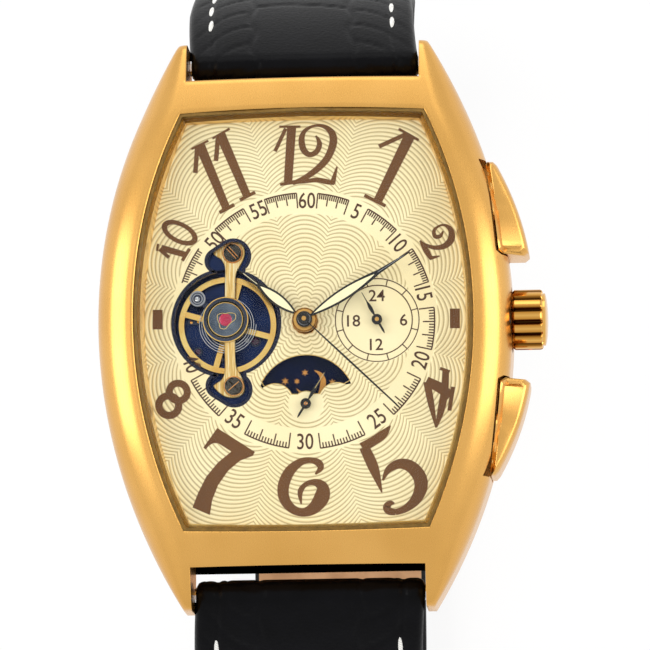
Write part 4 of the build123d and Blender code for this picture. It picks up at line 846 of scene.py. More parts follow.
def strap_rows(line, travelled, end_wrap):
    """Rows of the outer side: round the spring bar, along the line, and round the buckle's bar."""
    y, z, ny, nz, half = line[0]
    by, bz = line[0][0] - line[1][0], line[0][1] - line[1][1]
    length = math.hypot(by, bz)
    by, bz = by / length, bz / length
    rows = []
    for t in np.linspace(math.pi, 0, WRAP_ROWS + 1)[:-1]:
        c, s = math.cos(t), math.sin(t)
        rows.append((y, z, ny * c + by * s, nz * c + bz * s, half, -t * half))
    rows += [(*p, s) for p, s in zip(line, travelled)]
    if end_wrap:
        y, z, ny, nz, half = line[-1]
        fy, fz = line[-1][0] - line[-2][0], line[-1][1] - line[-2][1]
        length = math.hypot(fy, fz)
        fy, fz = fy / length, fz / length
        for t in np.linspace(0, math.pi, 12)[1:]:
            c, s = math.cos(t), math.sin(t)
            rows.append((y, z, ny * c + fy * s, nz * c + fz * s, half, travelled[-1] + t * half))
    return rows


def build_strap(name, node, sign, bend, flat_end, tail, end_wrap):
    """Padded leather half with pressed scales, a stitch groove, a dark edge and a tan lining."""
    line = strap_line(sign, bend, flat_end, tail)
    travelled = [0.0]
    for a, b in zip(line, line[1:]):
        travelled.append(travelled[-1] + math.hypot(b[0] - a[0], b[1] - a[1]))
    total = travelled[-1]
    across = np.linspace(-1, 1, 89)
    columns = len(across)

    def half_width(z, s):
        wide = strap_half_width(z)
        left = total - s
        if tail and left < TAIL_POINT:
            wide *= math.sqrt(max(0.0, 1 - ((TAIL_POINT - left) / TAIL_POINT) ** 2.4)) * 0.985 + 0.015
        return wide

    points = []
    outer = strap_rows(line, travelled, end_wrap)
    for y, z, ny, nz, half, s in outer:
        wide = half_width(z, s)
        for a in across:
            x = a * wide
            edge = wide - abs(x)
            shoulder = 1 - min(1.0, edge / 0.9)
            round_over = 0.42 * (1 - math.sqrt(max(0.0, 1 - shoulder**2))) * half
            groove = 0.14 * math.exp(-(((edge - 2.1) / 0.3) ** 2))
            pad = 0.0 if edge < 2.4 else 0.04
            pressed = 0.13 * scale_relief(x, s, wide) * min(1.0, edge / 1.5)
            height = half - 0.08 - round_over - groove + pad - pressed
            points.append((x + strap_lean(z), y + ny * height, z + nz * height))
    low = len(points)
    for (y, z, ny, nz, half), s in zip(line, travelled):
        wide = half_width(z, s)
        for a in across:
            x = a * wide
            height = -half + 0.05 + 0.25 * max(0.0, 1 - (wide - abs(x)) / 0.5)
            points.append((x + strap_lean(z), y + ny * height, z + nz * height))
    rows, lead = len(line), WRAP_ROWS
    faces = grid_faces(len(outer), columns)
    kinds = [0] * len(faces)
    for i in range(rows - 1):
        for j in range(columns - 1):
            a = low + i * columns + j
            faces.append((a, a + columns, a + columns + 1, a + 1))
            kinds.append(0 if j < 2 or j > columns - 4 else 1)
    for j in (0, columns - 1):
        for i in range(rows - 1):
            a, b = (lead + i) * columns + j, low + i * columns + j
            faces.append((a, a + columns, b + columns, b))
        faces.append(tuple(i * columns + j for i in range(lead + 1)) + (low + j,))
        if end_wrap:
            turn = tuple(i * columns + j for i in range(lead + rows - 1, len(outer)))
            faces.append(turn + (low + (rows - 1) * columns + j,))
    for j in range(columns - 1):
        faces.append((j, j + 1, low + j + 1, low + j))
        a, b = (len(outer) - 1) * columns + j, low + (rows - 1) * columns + j
        faces.append((a, a + 1, b + 1, b))
    kinds += [0] * (len(faces) - len(kinds))
    piece = make_piece(name, points, faces, [leather, lining], "case", "leather",
                       crease=STRAP_CREASE, kinds=kinds, weld=False)
    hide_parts(node)
    return piece, line, travelled


# Bends of the two halves at the wrist's sides, where they end, and the levels they lie at below the wrist
UPPER_BEND = 16.0
LOWER_BEND = 18.3
UPPER_END_Y = 3.0
TAIL_LENGTH = 18.0
UPPER_Z = SIDE_Z - UPPER_BEND
LOWER_Z = SIDE_Z - LOWER_BEND
STRAP_CREASE = 50

# Holes of the tail, the one in use longer than the others, and the slot for the buckle's tongue
HOLE_COUNT = 5
HOLE_PITCH = 6.0
HOLE_RADIUS = 0.95
HOLE_Y = -2.9
LONGER_HOLE = 0.6
SLOT_HALF = 1.1
SLOT_START_Y = 0.7
SLOT_END_Y = 5.3
CUT_REACH = 2.2


def tail_holes():
    """Shapes that punch the holes of the lower half."""
    turns = np.linspace(0, 2 * math.pi, 25)[:-1]
    made = []
    for hole in range(HOLE_COUNT):
        y = HOLE_Y + HOLE_PITCH * (hole - 2)
        long = LONGER_HOLE if hole == 2 else 0.0
        outline = [
            (HOLE_RADIUS * math.cos(t), y + HOLE_RADIUS * math.sin(t) + math.copysign(long, math.sin(t)))
            for t in turns
        ]
        made.append(prism(outline, LOWER_Z - CUT_REACH, LOWER_Z + CUT_REACH))
    return made


strap_upper, upper_line, upper_run = build_strap(
    "strap_upper", "strap_twelve", 1, UPPER_BEND, UPPER_END_Y, 0.0, True)
strap_lower, lower_line, lower_run = build_strap(
    "strap_lower", "strap_six", -1, LOWER_BEND, -BEND_Y, TAIL_LENGTH / LOWER_BEND, False)
finish_mesh(cut_out(strap_lower, tail_holes()), STRAP_CREASE)
tongue_slot = [
    (-SLOT_HALF, SLOT_START_Y), (SLOT_HALF, SLOT_START_Y),
    (SLOT_HALF, SLOT_END_Y), (-SLOT_HALF, SLOT_END_Y),
]
slot_cut = prism(tongue_slot, UPPER_Z - CUT_REACH, UPPER_Z + CUT_REACH)
finish_mesh(cut_out(strap_upper, [slot_cut]), STRAP_CREASE)


# Keepers: the inside of the loop, its corners, and its section as places along the strap and outwards
KEEPER_HALF = 9.5
KEEPER_LOW = -49.38
KEEPER_HIGH = -44.28
KEEPER_CORNER = 0.7
KEEPER_SECTION = [
    (-1.5, 0.0), (1.5, 0.0), (1.6, 0.12), (1.6, 0.85), (1.42, 1.08), (1.0, 1.18),
    (0.5, 1.22), (-0.5, 1.22), (-1.0, 1.18), (-1.42, 1.08), (-1.6, 0.85), (-1.6, 0.12),
]
FIXED_KEEPER_Y = 7.6
LOOSE_KEEPER_Y = 14.2


def build_keeper(name, node, body, middle):
    """Leather loop with a soft face and straight edges."""
    side, low, high = KEEPER_HALF - KEEPER_CORNER, KEEPER_LOW + KEEPER_CORNER, KEEPER_HIGH - KEEPER_CORNER
    path = []
    for cx, cz, first in ((side, high, 0), (-side, high, 90), (-side, low, 180), (side, low, 270)):
        for t in np.radians(np.linspace(first, first + 90, 9)):
            path.append((cx, cz, math.cos(t), math.sin(t)))
    points = []
    for cx, cz, nx, nz in path:
        for y, out in KEEPER_SECTION:
            points.append((cx + nx * (KEEPER_CORNER + out), middle + y, cz + nz * (KEEPER_CORNER + out)))
    faces = grid_faces(len(path), len(KEEPER_SECTION), closed_rows=True, closed_columns=True)
    piece = make_piece(name, points, faces, [leather], body, "leather", crease=40)
    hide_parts(node)


build_keeper("keeper_band_fixed", "fixed_keeper", "case", FIXED_KEEPER_Y)
build_keeper("keeper_band_loose", "loose_keeper", "keeper", LOOSE_KEEPER_Y)


# Bands, plates and letters that lie flat

def smooth_line(points, steps, closed=False):
    """Points of a smooth curve through some points, each with any number of values."""
    points = [np.asarray(p, dtype=float) for p in points]
    count = len(points)
    if count < 3:
        return points
    made = []
    for i in range(count if closed else count - 1):
        if closed:
            a, b, c, d = (points[(i + k - 1) % count] for k in range(4))
        else:
            a, b, c, d = points[max(i - 1, 0)], points[i], points[i + 1], points[min(i + 2, count - 1)]
        for k in range(steps):
            t = k / steps
            bend = (2 * a - 5 * b + 4 * c - d) * t * t + (3 * b - a - 3 * c + d) * t**3
            made.append(0.5 * (2 * b + (c - a) * t + bend))
    if not closed:
        made.append(points[-1])
    return made


def stroke(line, bottom, top, closed=False, steps=5, bevel=0.0):
    """A flat band with square ends that follows a line of places and widths."""
    line = smooth_line(line, steps, closed)
    count = len(line)
    points = []
    for i, (x, y, width) in enumerate(line):
        before = line[(i - 1) % count] if closed or i > 0 else line[0]
        after = line[(i + 1) % count] if closed or i < count - 1 else line[-1]
        dx, dy = after[0] - before[0], after[1] - before[1]
        length = max(math.hypot(dx, dy), 1e-9)
        nx, ny = -dy / length, dx / length
        half = width / 2
        slim = max(half - bevel, half * 0.3)
        if bevel:
            side = [(half, bottom), (half, top - bevel), (slim, top)]
        else:
            side = [(half, bottom), (half, top)]
        section = side + [(-out, z) for out, z in side[::-1]]
        points += [(x + nx * out, y + ny * out, z) for out, z in section]
    sides = 6 if bevel else 4
    faces = grid_faces(count, sides, closed_rows=closed, closed_columns=True)
    if not closed:
        faces.append(tuple(range(sides)))
        faces.append(tuple((count - 1) * sides + k for k in range(sides)))
    return points, faces


def round_outline(centre, radius, count):
    """Points on a circle, anticlockwise from +X."""
    turns = np.linspace(0, 2 * math.pi, count + 1)[:-1]
    return [(centre[0] + radius * math.cos(t), centre[1] + radius * math.sin(t)) for t in turns]


def lathe(centre, profile, count=48, axis_hole=False):
    """A round body about an upright axis, from radii and heights."""
    turns = np.linspace(0, 2 * math.pi, count + 1)[:-1]
    cx, cy = centre
    points = [(cx + r * math.cos(t), cy + r * math.sin(t), z) for r, z in profile for t in turns]
    faces = grid_faces(len(profile), count, closed_rows=axis_hole, closed_columns=True)
    if not axis_hole:
        faces.append(tuple(range(count))[::-1])
        faces.append(tuple((len(profile) - 1) * count + k for k in range(count)))
    return points, faces


# A numeral's height as a share of its font's size, and the thickness and swelling of a printed number
CAP_SHARE = 0.69
PRINT_THICK = 0.026
PRINT_SWELL = 0.012


def letters(text, height, squeeze, place, angle, level):
    """Plain numbers as flat plates, centred on a place and turned clockwise."""
    curve = bpy.data.curves.new("letters", "FONT")
    curve.body = text
    curve.size = height * MM / CAP_SHARE
    curve.extrude = PRINT_THICK * MM / 2
    curve.offset = PRINT_SWELL * MM
    curve.resolution_u = 4
    maker = new_object("letters", curve)
    depsgraph = bpy.context.evaluated_depsgraph_get()
    mesh = bpy.data.meshes.new_from_object(maker.evaluated_get(depsgraph))
    table = np.array([v.co[:] for v in mesh.vertices]) / MM
    faces = [tuple(p.vertices) for p in mesh.polygons]
    middle = (table.min(axis=0) + table.max(axis=0)) / 2
    lift = level + PRINT_THICK / 2
    points = [((x - middle[0]) * squeeze, y - middle[1], z + lift) for x, y, z in table]
    bpy.data.objects.remove(maker)
    bpy.data.curves.remove(curve)
    bpy.data.meshes.remove(mesh)
    return [(place[0] + x, place[1] + y, z) for x, y, z in turned(points, angle)], faces


# Repeated shapes by geometry nodes

def repeat_tree(name, rounded):
    """Node tree that puts one shape on every point, turned and sized as the point says."""
    tree = bpy.data.node_groups.new(name, "GeometryNodeTree")
    tree.interface.new_socket("Geometry", in_out="INPUT", socket_type="NodeSocketGeometry")
    tree.interface.new_socket("Material", in_out="INPUT", socket_type="NodeSocketMaterial")
    tree.interface.new_socket("Geometry", in_out="OUTPUT", socket_type="NodeSocketGeometry")
    made = tree.nodes.new
    start, end = made("NodeGroupInput"), made("NodeGroupOutput")
    if rounded:
        shape = made("GeometryNodeMeshUVSphere")
        shape.inputs["Segments"].default_value = 12
        shape.inputs["Rings"].default_value = 10
        shape.inputs["Radius"].default_value = 0.5
    else:
        shape = made("GeometryNodeMeshCube")
        shape.inputs["Size"].default_value = (1.0, 1.0, 1.0)
    place = made("GeometryNodeInstanceOnPoints")
    joined, paint = made("GeometryNodeRealizeInstances"), made("GeometryNodeSetMaterial")
    for label, socket in (("turn", "Rotation"), ("size", "Scale")):
        reader = made("GeometryNodeInputNamedAttribute")
        reader.data_type = "FLOAT_VECTOR"
        reader.inputs["Name"].default_value = label
        tree.links.new(reader.outputs["Attribute"], place.inputs[socket])
    tree.links.new(start.outputs["Geometry"], place.inputs["Points"])
    tree.links.new(shape.outputs["Mesh"], place.inputs["Instance"])
    tree.links.new(place.outputs["Instances"], joined.inputs["Geometry"])
    tree.links.new(joined.outputs["Geometry"], paint.inputs["Geometry"])
    tree.links.new(start.outputs["Material"], paint.inputs["Material"])
    tree.links.new(paint.outputs["Geometry"], end.inputs["Geometry"])
    return tree


REPEAT_CREASE = 35.0


def repeat_shape(name, tree, places, turns, sizes, material, body):
    """One mesh of the same shape at many places, all in millimetres and radians."""
    mesh = metre_mesh(name, places, [])
    for label, table in (("turn", np.asarray(turns)), ("size", np.asarray(sizes) * MM)):
        layer = mesh.attributes.new(label, "FLOAT_VECTOR", "POINT")
        layer.data.foreach_set("vector", table.astype(np.float32).ravel())
    piece = new_object(name, mesh)
    live = piece.modifiers.new("repeat", "NODES")
    live.node_group = tree
    for item in tree.interface.items_tree:
        if item.in_out == "INPUT" and item.name == "Material":
            live[item.identifier] = material
    finish_mesh(apply_live(piece), REPEAT_CREASE)
    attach(piece, body)


blocks = repeat_tree("repeated_blocks", False)
beads = repeat_tree("repeated_beads", True)


# More materials

def lacquer(name, colour, rough, grain=0.0, metallic=0.0, depth=0.004, coat=0.0):
    """Printed, lacquered or enamelled surface with a slight drift of shade."""
    material, tree, shader = blank_material(name)
    place = place_of(tree)
    drift = noise(tree, place, 1.3, 3.0)
    low = tuple(c * (1.0 - grain) for c in colour)
    high = tuple(min(1.0, c * (1.0 + 0.5 * grain)) for c in colour)
    tree.links.new(ramp(tree, drift, [(0.3, low), (0.7, high)]), shader.inputs["Base Color"])
    fine = noise(tree, place, 9.0, 4.0, 0.6)
    tree.links.new(spread(tree, fine, rough * 0.85, rough * 1.15), shader.inputs["Roughness"])
    shader.inputs["Metallic"].default_value = metallic
    shader.inputs["Coat Weight"].default_value = coat
    bump(tree, shader, fine, depth, 0.5)
    return material


def brushed(name, dark, light, direction):
    """Metal brushed along a direction in degrees from +X."""
    turn = (0.0, 0.0, math.radians(-direction))
    return metal(name, dark, light, (0.25, 0.4), (0.35, 9.0, 1.0), 0.006, turn)


def ring_brushed(name, dark, light, rough, pitch):
    """Metal turned on a lathe, with fine rings about the watch's upright axis."""
    material, tree, shader = blank_material(name)
    place = place_of(tree)
    split = tree.nodes.new("ShaderNodeSeparateXYZ")
    tree.links.new(place, split.inputs[0])
    r = distance_from(tree, split.outputs[0], split.outputs[1])
    rings = calc(tree, "SINE", calc(tree, "MULTIPLY", r, 2 * math.pi / pitch))
    around = noise(tree, place, 2.2, 3.0)
    tree.links.new(ramp(tree, around, [(0.3, dark), (0.7, light)]), shader.inputs["Base Color"])
    value = calc(tree, "MULTIPLY_ADD", rings, 0.5, 0.5)
    tree.links.new(spread(tree, value, rough[0], rough[1]), shader.inputs["Roughness"])
    shader.inputs["Metallic"].default_value = 1.0
    bump(tree, shader, value, 0.003, 0.5)
    return material


def gold_grain_and_sheen(name):
    """Gilt bridge, brushed along its arms; its pale lines, up to near white, are painted sheen beside the
    deep lines of the grain.
    """
    material, tree, shader = blank_material(name)
    lines = noise(tree, place_of(tree, (9.0, 0.25, 1.0)), 1.0, 3.0, 0.7)
    # The pale end of these lines is painted sheen of the brushing.
    stops = [(0.34, linear(206, 156, 76)), (0.5, linear(240, 200, 122)), (0.64, linear(255, 244, 200))]
    colour = ramp(tree, lines, stops)
    tree.links.new(colour, shader.inputs["Base Color"])
    tree.links.new(spread(tree, lines, 0.24, 0.4), shader.inputs["Roughness"])
    shader.inputs["Metallic"].default_value = 0.85
    bump(tree, shader, lines, 0.02, 0.6)
    return material


# Grain of the small parts: fine, and alike in every direction
FINE = (6.0, 6.0, 6.0)

brass = brushed("wheel_brass", linear(206, 152, 80), linear(232, 184, 108), 30.0)
steel = brushed("brushed_steel", linear(150, 152, 158), linear(196, 198, 204), 60.0)
dark_steel = brushed("dark_steel", linear(52, 58, 74), linear(84, 90, 106), 15.0)
copper = metal("copper_gilt", linear(214, 146, 84), linear(240, 184, 116), (0.16, 0.26), FINE, 0.002)
wheel_gold = metal("balance_gold", linear(236, 184, 98), linear(252, 220, 140), (0.14, 0.22), FINE, 0.002,
                   scale=3.0)
# Darker brown gold, used on the hour hand's hub.
dark_hub_gold = metal("dark_hub_gold", linear(112, 74, 30), linear(168, 120, 58), (0.2, 0.3), FINE, 0.002, scale=6.0)
bridge_gold = gold_grain_and_sheen("bridge_gold")
black_steel = lacquer("black_hands", (0.003, 0.003, 0.0035), 0.32, 0.3, 0.0, 0.002)
seal_rubber = lacquer("gilt_seal", linear(128, 98, 44), 0.35, 0.3, 0.6)
slate = metal("slate_screws", linear(60, 60, 58), linear(98, 92, 84), (0.22, 0.34), FINE, 0.003)
glass_slate = metal("setting_slate", linear(70, 80, 94), linear(118, 128, 140), (0.16, 0.28), FINE, 0.003,
                    scale=5.0)
polished_steel = metal("polished_steel", linear(176, 178, 184), linear(216, 218, 222), (0.1, 0.18), FINE,
                       0.002)


# Dial

# Axes of the dial side, the dial's upper face, and the levels between which its prints lie
CENTRE = (0.0, 0.0)
BALANCE = (-7.53, 0.0)
SMALL_DIAL = (6.87, 0.0)
SMALL_SECONDS = (0.0, -7.95)
DIAL_TOP = 7.9
PRINT_LOW = DIAL_TOP - 0.01
PRINT_HIGH = DIAL_TOP + 0.03

# Engine turning: twelve scallops, each an arc round a point at a share of the way out, and their pitch
SCALLOP_SHARE = 0.72
SCALLOP_ARC_SHARE = 0.28
WAVE_PITCH = 0.43

# Plain parts of the dial: the track's ring with its middle, and the rounds under the small dials
RING_CENTRE = (-0.06, 0.08)
RING_INNER = 10.3
RING_OUTER = 12.75
SMALL_DIAL_RADIUS = 4.12
SECONDS_DIAL_RADIUS = 1.75


def dial_material():
    """Champagne dial, engine turned in scallops about each hour, with a plain ring and a plain small dial."""
    material, tree, shader = blank_material("champagne_dial")
    place = place_of(tree)
    split = tree.nodes.new("ShaderNodeSeparateXYZ")
    tree.links.new(place, split.inputs[0])
    x, y = split.outputs[0], split.outputs[1]

    def away(cx, cy):
        return distance_from(tree, calc(tree, "SUBTRACT", x, cx), calc(tree, "SUBTRACT", y, cy))

    def inside(value, low, high, soft):
        rise = calc(tree, "DIVIDE", calc(tree, "SUBTRACT", value, low), soft, clamp=True)
        fall = calc(tree, "DIVIDE", calc(tree, "SUBTRACT", high, value), soft, clamp=True)
        return calc(tree, "MULTIPLY", rise, fall)

    theta = calc(tree, "ARCTAN2", x, y)
    twelfth, half = math.radians(30.0), math.radians(15.0)
    phi = calc(tree, "SUBTRACT", calc(tree, "FLOORED_MODULO", calc(tree, "ADD", theta, half), twelfth), half)
    sine = calc(tree, "MULTIPLY", calc(tree, "SINE", phi), SCALLOP_SHARE)
    root = calc(tree, "SQRT", calc(tree, "SUBTRACT", SCALLOP_ARC_SHARE**2, square(tree, sine)))
    scallop = calc(tree, "ADD", calc(tree, "MULTIPLY", calc(tree, "COSINE", phi), SCALLOP_SHARE), root)
    reach = calc(tree, "DIVIDE", away(*CENTRE), scallop)
    wave = calc(tree, "SINE", calc(tree, "MULTIPLY", reach, 2 * math.pi / WAVE_PITCH))
    lines = calc(tree, "MULTIPLY_ADD", wave, 0.5, 0.5)
    ring = inside(away(*RING_CENTRE), RING_INNER, RING_OUTER, 0.08)
    small = inside(away(*SMALL_DIAL), -1.0, SMALL_DIAL_RADIUS, 0.06)
    seconds = inside(away(*SMALL_SECONDS), -1.0, SECONDS_DIAL_RADIUS, 0.1)
    plain = calc(tree, "MAXIMUM", calc(tree, "MAXIMUM", ring, small), seconds)
    cut = calc(tree, "SUBTRACT", 1.0, plain)
    # The troughs of the engine turning are darkened towards brown: painted shade in the grooves, over their
    # bump relief.
    painted_trough_shade = calc(tree, "MULTIPLY", calc(tree, "POWER", calc(tree, "SUBTRACT", 1.0, lines), 2.6), cut)
    drift = noise(tree, place, 0.12, 2.0)
    base = ramp(tree, drift, [(0.3, linear(244, 226, 176)), (0.7, linear(250, 236, 192))])
    mix = tree.nodes.new("ShaderNodeMix")
    mix.data_type = "RGBA"
    mix.blend_type = "MIX"
    colours = [s for s in mix.inputs if s.type == "RGBA"]
    tree.links.new(calc(tree, "MULTIPLY", painted_trough_shade, 0.66), mix.inputs["Factor"])
    tree.links.new(base, colours[0])
    colours[1].default_value = linear(138, 108, 50) + (1.0,)
    tree.links.new([s for s in mix.outputs if s.type == "RGBA"][0], shader.inputs["Base Color"])
    shader.inputs["Metallic"].default_value = 0.25
    grain = noise(tree, place, 7.0, 4.0)
    tree.links.new(spread(tree, grain, 0.34, 0.44), shader.inputs["Roughness"])
    height = calc(tree, "ADD", calc(tree, "MULTIPLY", lines, cut), calc(tree, "MULTIPLY", grain, 0.04))
    bump(tree, shader, height, 0.035, 0.8)
    return material


champagne = dial_material()
print_brown = lacquer("numeral_brown", linear(100, 60, 14), 0.4, 0.1, 0.0, 0.002)
line_brown = lacquer("fine_print_brown", linear(70, 38, 10), 0.5, 0.1)
navy_rim = lacquer("navy_rim", linear(22, 28, 52), 0.25, 0.2, 0.4, 0.002)
cream = lacquer("cream_inlay", linear(240, 228, 186), 0.45, 0.05)
lip_gold = metal("pale_lip", linear(226, 200, 140), linear(244, 222, 166), (0.2, 0.3), (5.0, 5.0, 5.0), 0.002)


def seated(x, y):
    """A place printed on the dial, with the dial's slight turn in its seat."""
    return 1.0017 * x + 0.0109 * y - 0.09, -0.0203 * x + 1.0014 * y + 0.24


def rim_loops():
    """Closed edges of the dial's upper face, in millimetres, as seen in its carried-over solid."""
    mesh = nodes["dial"].data
    matrix = nodes["dial"].matrix_world
    spots = [matrix @ v.co / MM for v in mesh.vertices]
    key = [(round(p.x, 3), round(p.y, 3)) if abs(p.z - DIAL_TOP) < 0.004 else None for p in spots]
    flat, wall = set(), set()
    for face in mesh.polygons:
        ids = list(face.vertices)
        upright = abs(face.normal.z) > 0.9
        for a, b in zip(ids, ids[1:] + ids[:1]):
            if key[a] is None or key[b] is None or key[a] == key[b]:
                continue
            if upright:
                flat.add((key[a], key[b]))
            else:
                wall.add((key[b], key[a]))
    after = {a: b for a, b in flat if (a, b) in wall}
    loops = []
    while after:
        start = next(iter(after))
        loop, here = [start], after.pop(start)
        while here != start and here in after:
            loop.append(here)
            here = after.pop(here)
        loops.append(np.array(loop))
    return loops


def loop_about(loops, x, y, size):
    """The edge whose middle is nearest a place and whose width is nearest a size."""
    def miss(loop):
        low, high = loop.min(axis=0), loop.max(axis=0)
        middle = (low + high) / 2
        return abs(middle[0] - x) + abs(middle[1] - y) + abs(high[0] - low[0] - size)

    return min(loops, key=miss)


edges = rim_loops()
heart_edge = loop_about(edges, *BALANCE, 9.9)
moon_edge = loop_about(edges, 0.0, -5.0, 8.3)


def contains(loop, x, y):
    """Whether a place lies inside a closed edge."""
    ax, ay = loop[:, 0], loop[:, 1]
    bx, by = np.roll(ax, -1), np.roll(ay, -1)
    crossing = (ay > y) != (by > y)
    return bool(np.sum(crossing & (x < (bx - ax) * (y - ay) / np.where(by == ay, 1e-9, by - ay) + ax)) % 2)


def band_along(loop, out, width, bottom, top, bevel=0.0):
    """A band round an opening, its middle moved outwards from the edge."""
    moved = inset(loop, -out)
    return stroke([(x, y, width) for x, y in moved], bottom, top, closed=True, steps=1, bevel=bevel)


# Narrow lower corners of the moon window, which plates close
CORNER_X = 3.85
CORNER_Y = -5.85
CORNER_SHIFT = 0.15
CORNER_LAP = 0.12


def in_corner(x, y):
    """Whether a place lies in one of the narrow lower corners of the moon window."""
    return abs(x + CORNER_SHIFT) > CORNER_X and y < CORNER_Y


def build_window_rims():
    """The dark rim of the open heart, the moon window's lip, and the plates in its corners."""
    rim = band_along(heart_edge, 0.14, 0.34, 7.52, DIAL_TOP + 0.035, 0.03)
    make_piece("heart_rim", *rim, [navy_rim], "case", "dial", crease=40)
    kept_edge = np.array([p for p in moon_edge if not in_corner(*p)])
    lip = band_along(kept_edge, 0.03, 0.1, 7.6, DIAL_TOP + 0.03, 0.03)
    make_piece("moon_lip", *lip, [lip_gold], "case", "dial", crease=30)
    for side in (-1, 1):
        corner = [p for p in moon_edge if in_corner(*p) and p[0] * side > 0]
        gaps = [float(np.hypot(*(corner[k] - corner[k - 1]))) for k in range(len(corner))]
        first = int(np.argmax(gaps))
        outline = inset(np.array(corner[first:] + corner[:first]), -CORNER_LAP)
        cover = plate_points(outline, DIAL_TOP - 0.3, DIAL_TOP + 0.012)
        make_piece("moon_corner_%d" % (side > 0), *cover, [champagne], "case", "dial", crease=20)


build_window_rims()

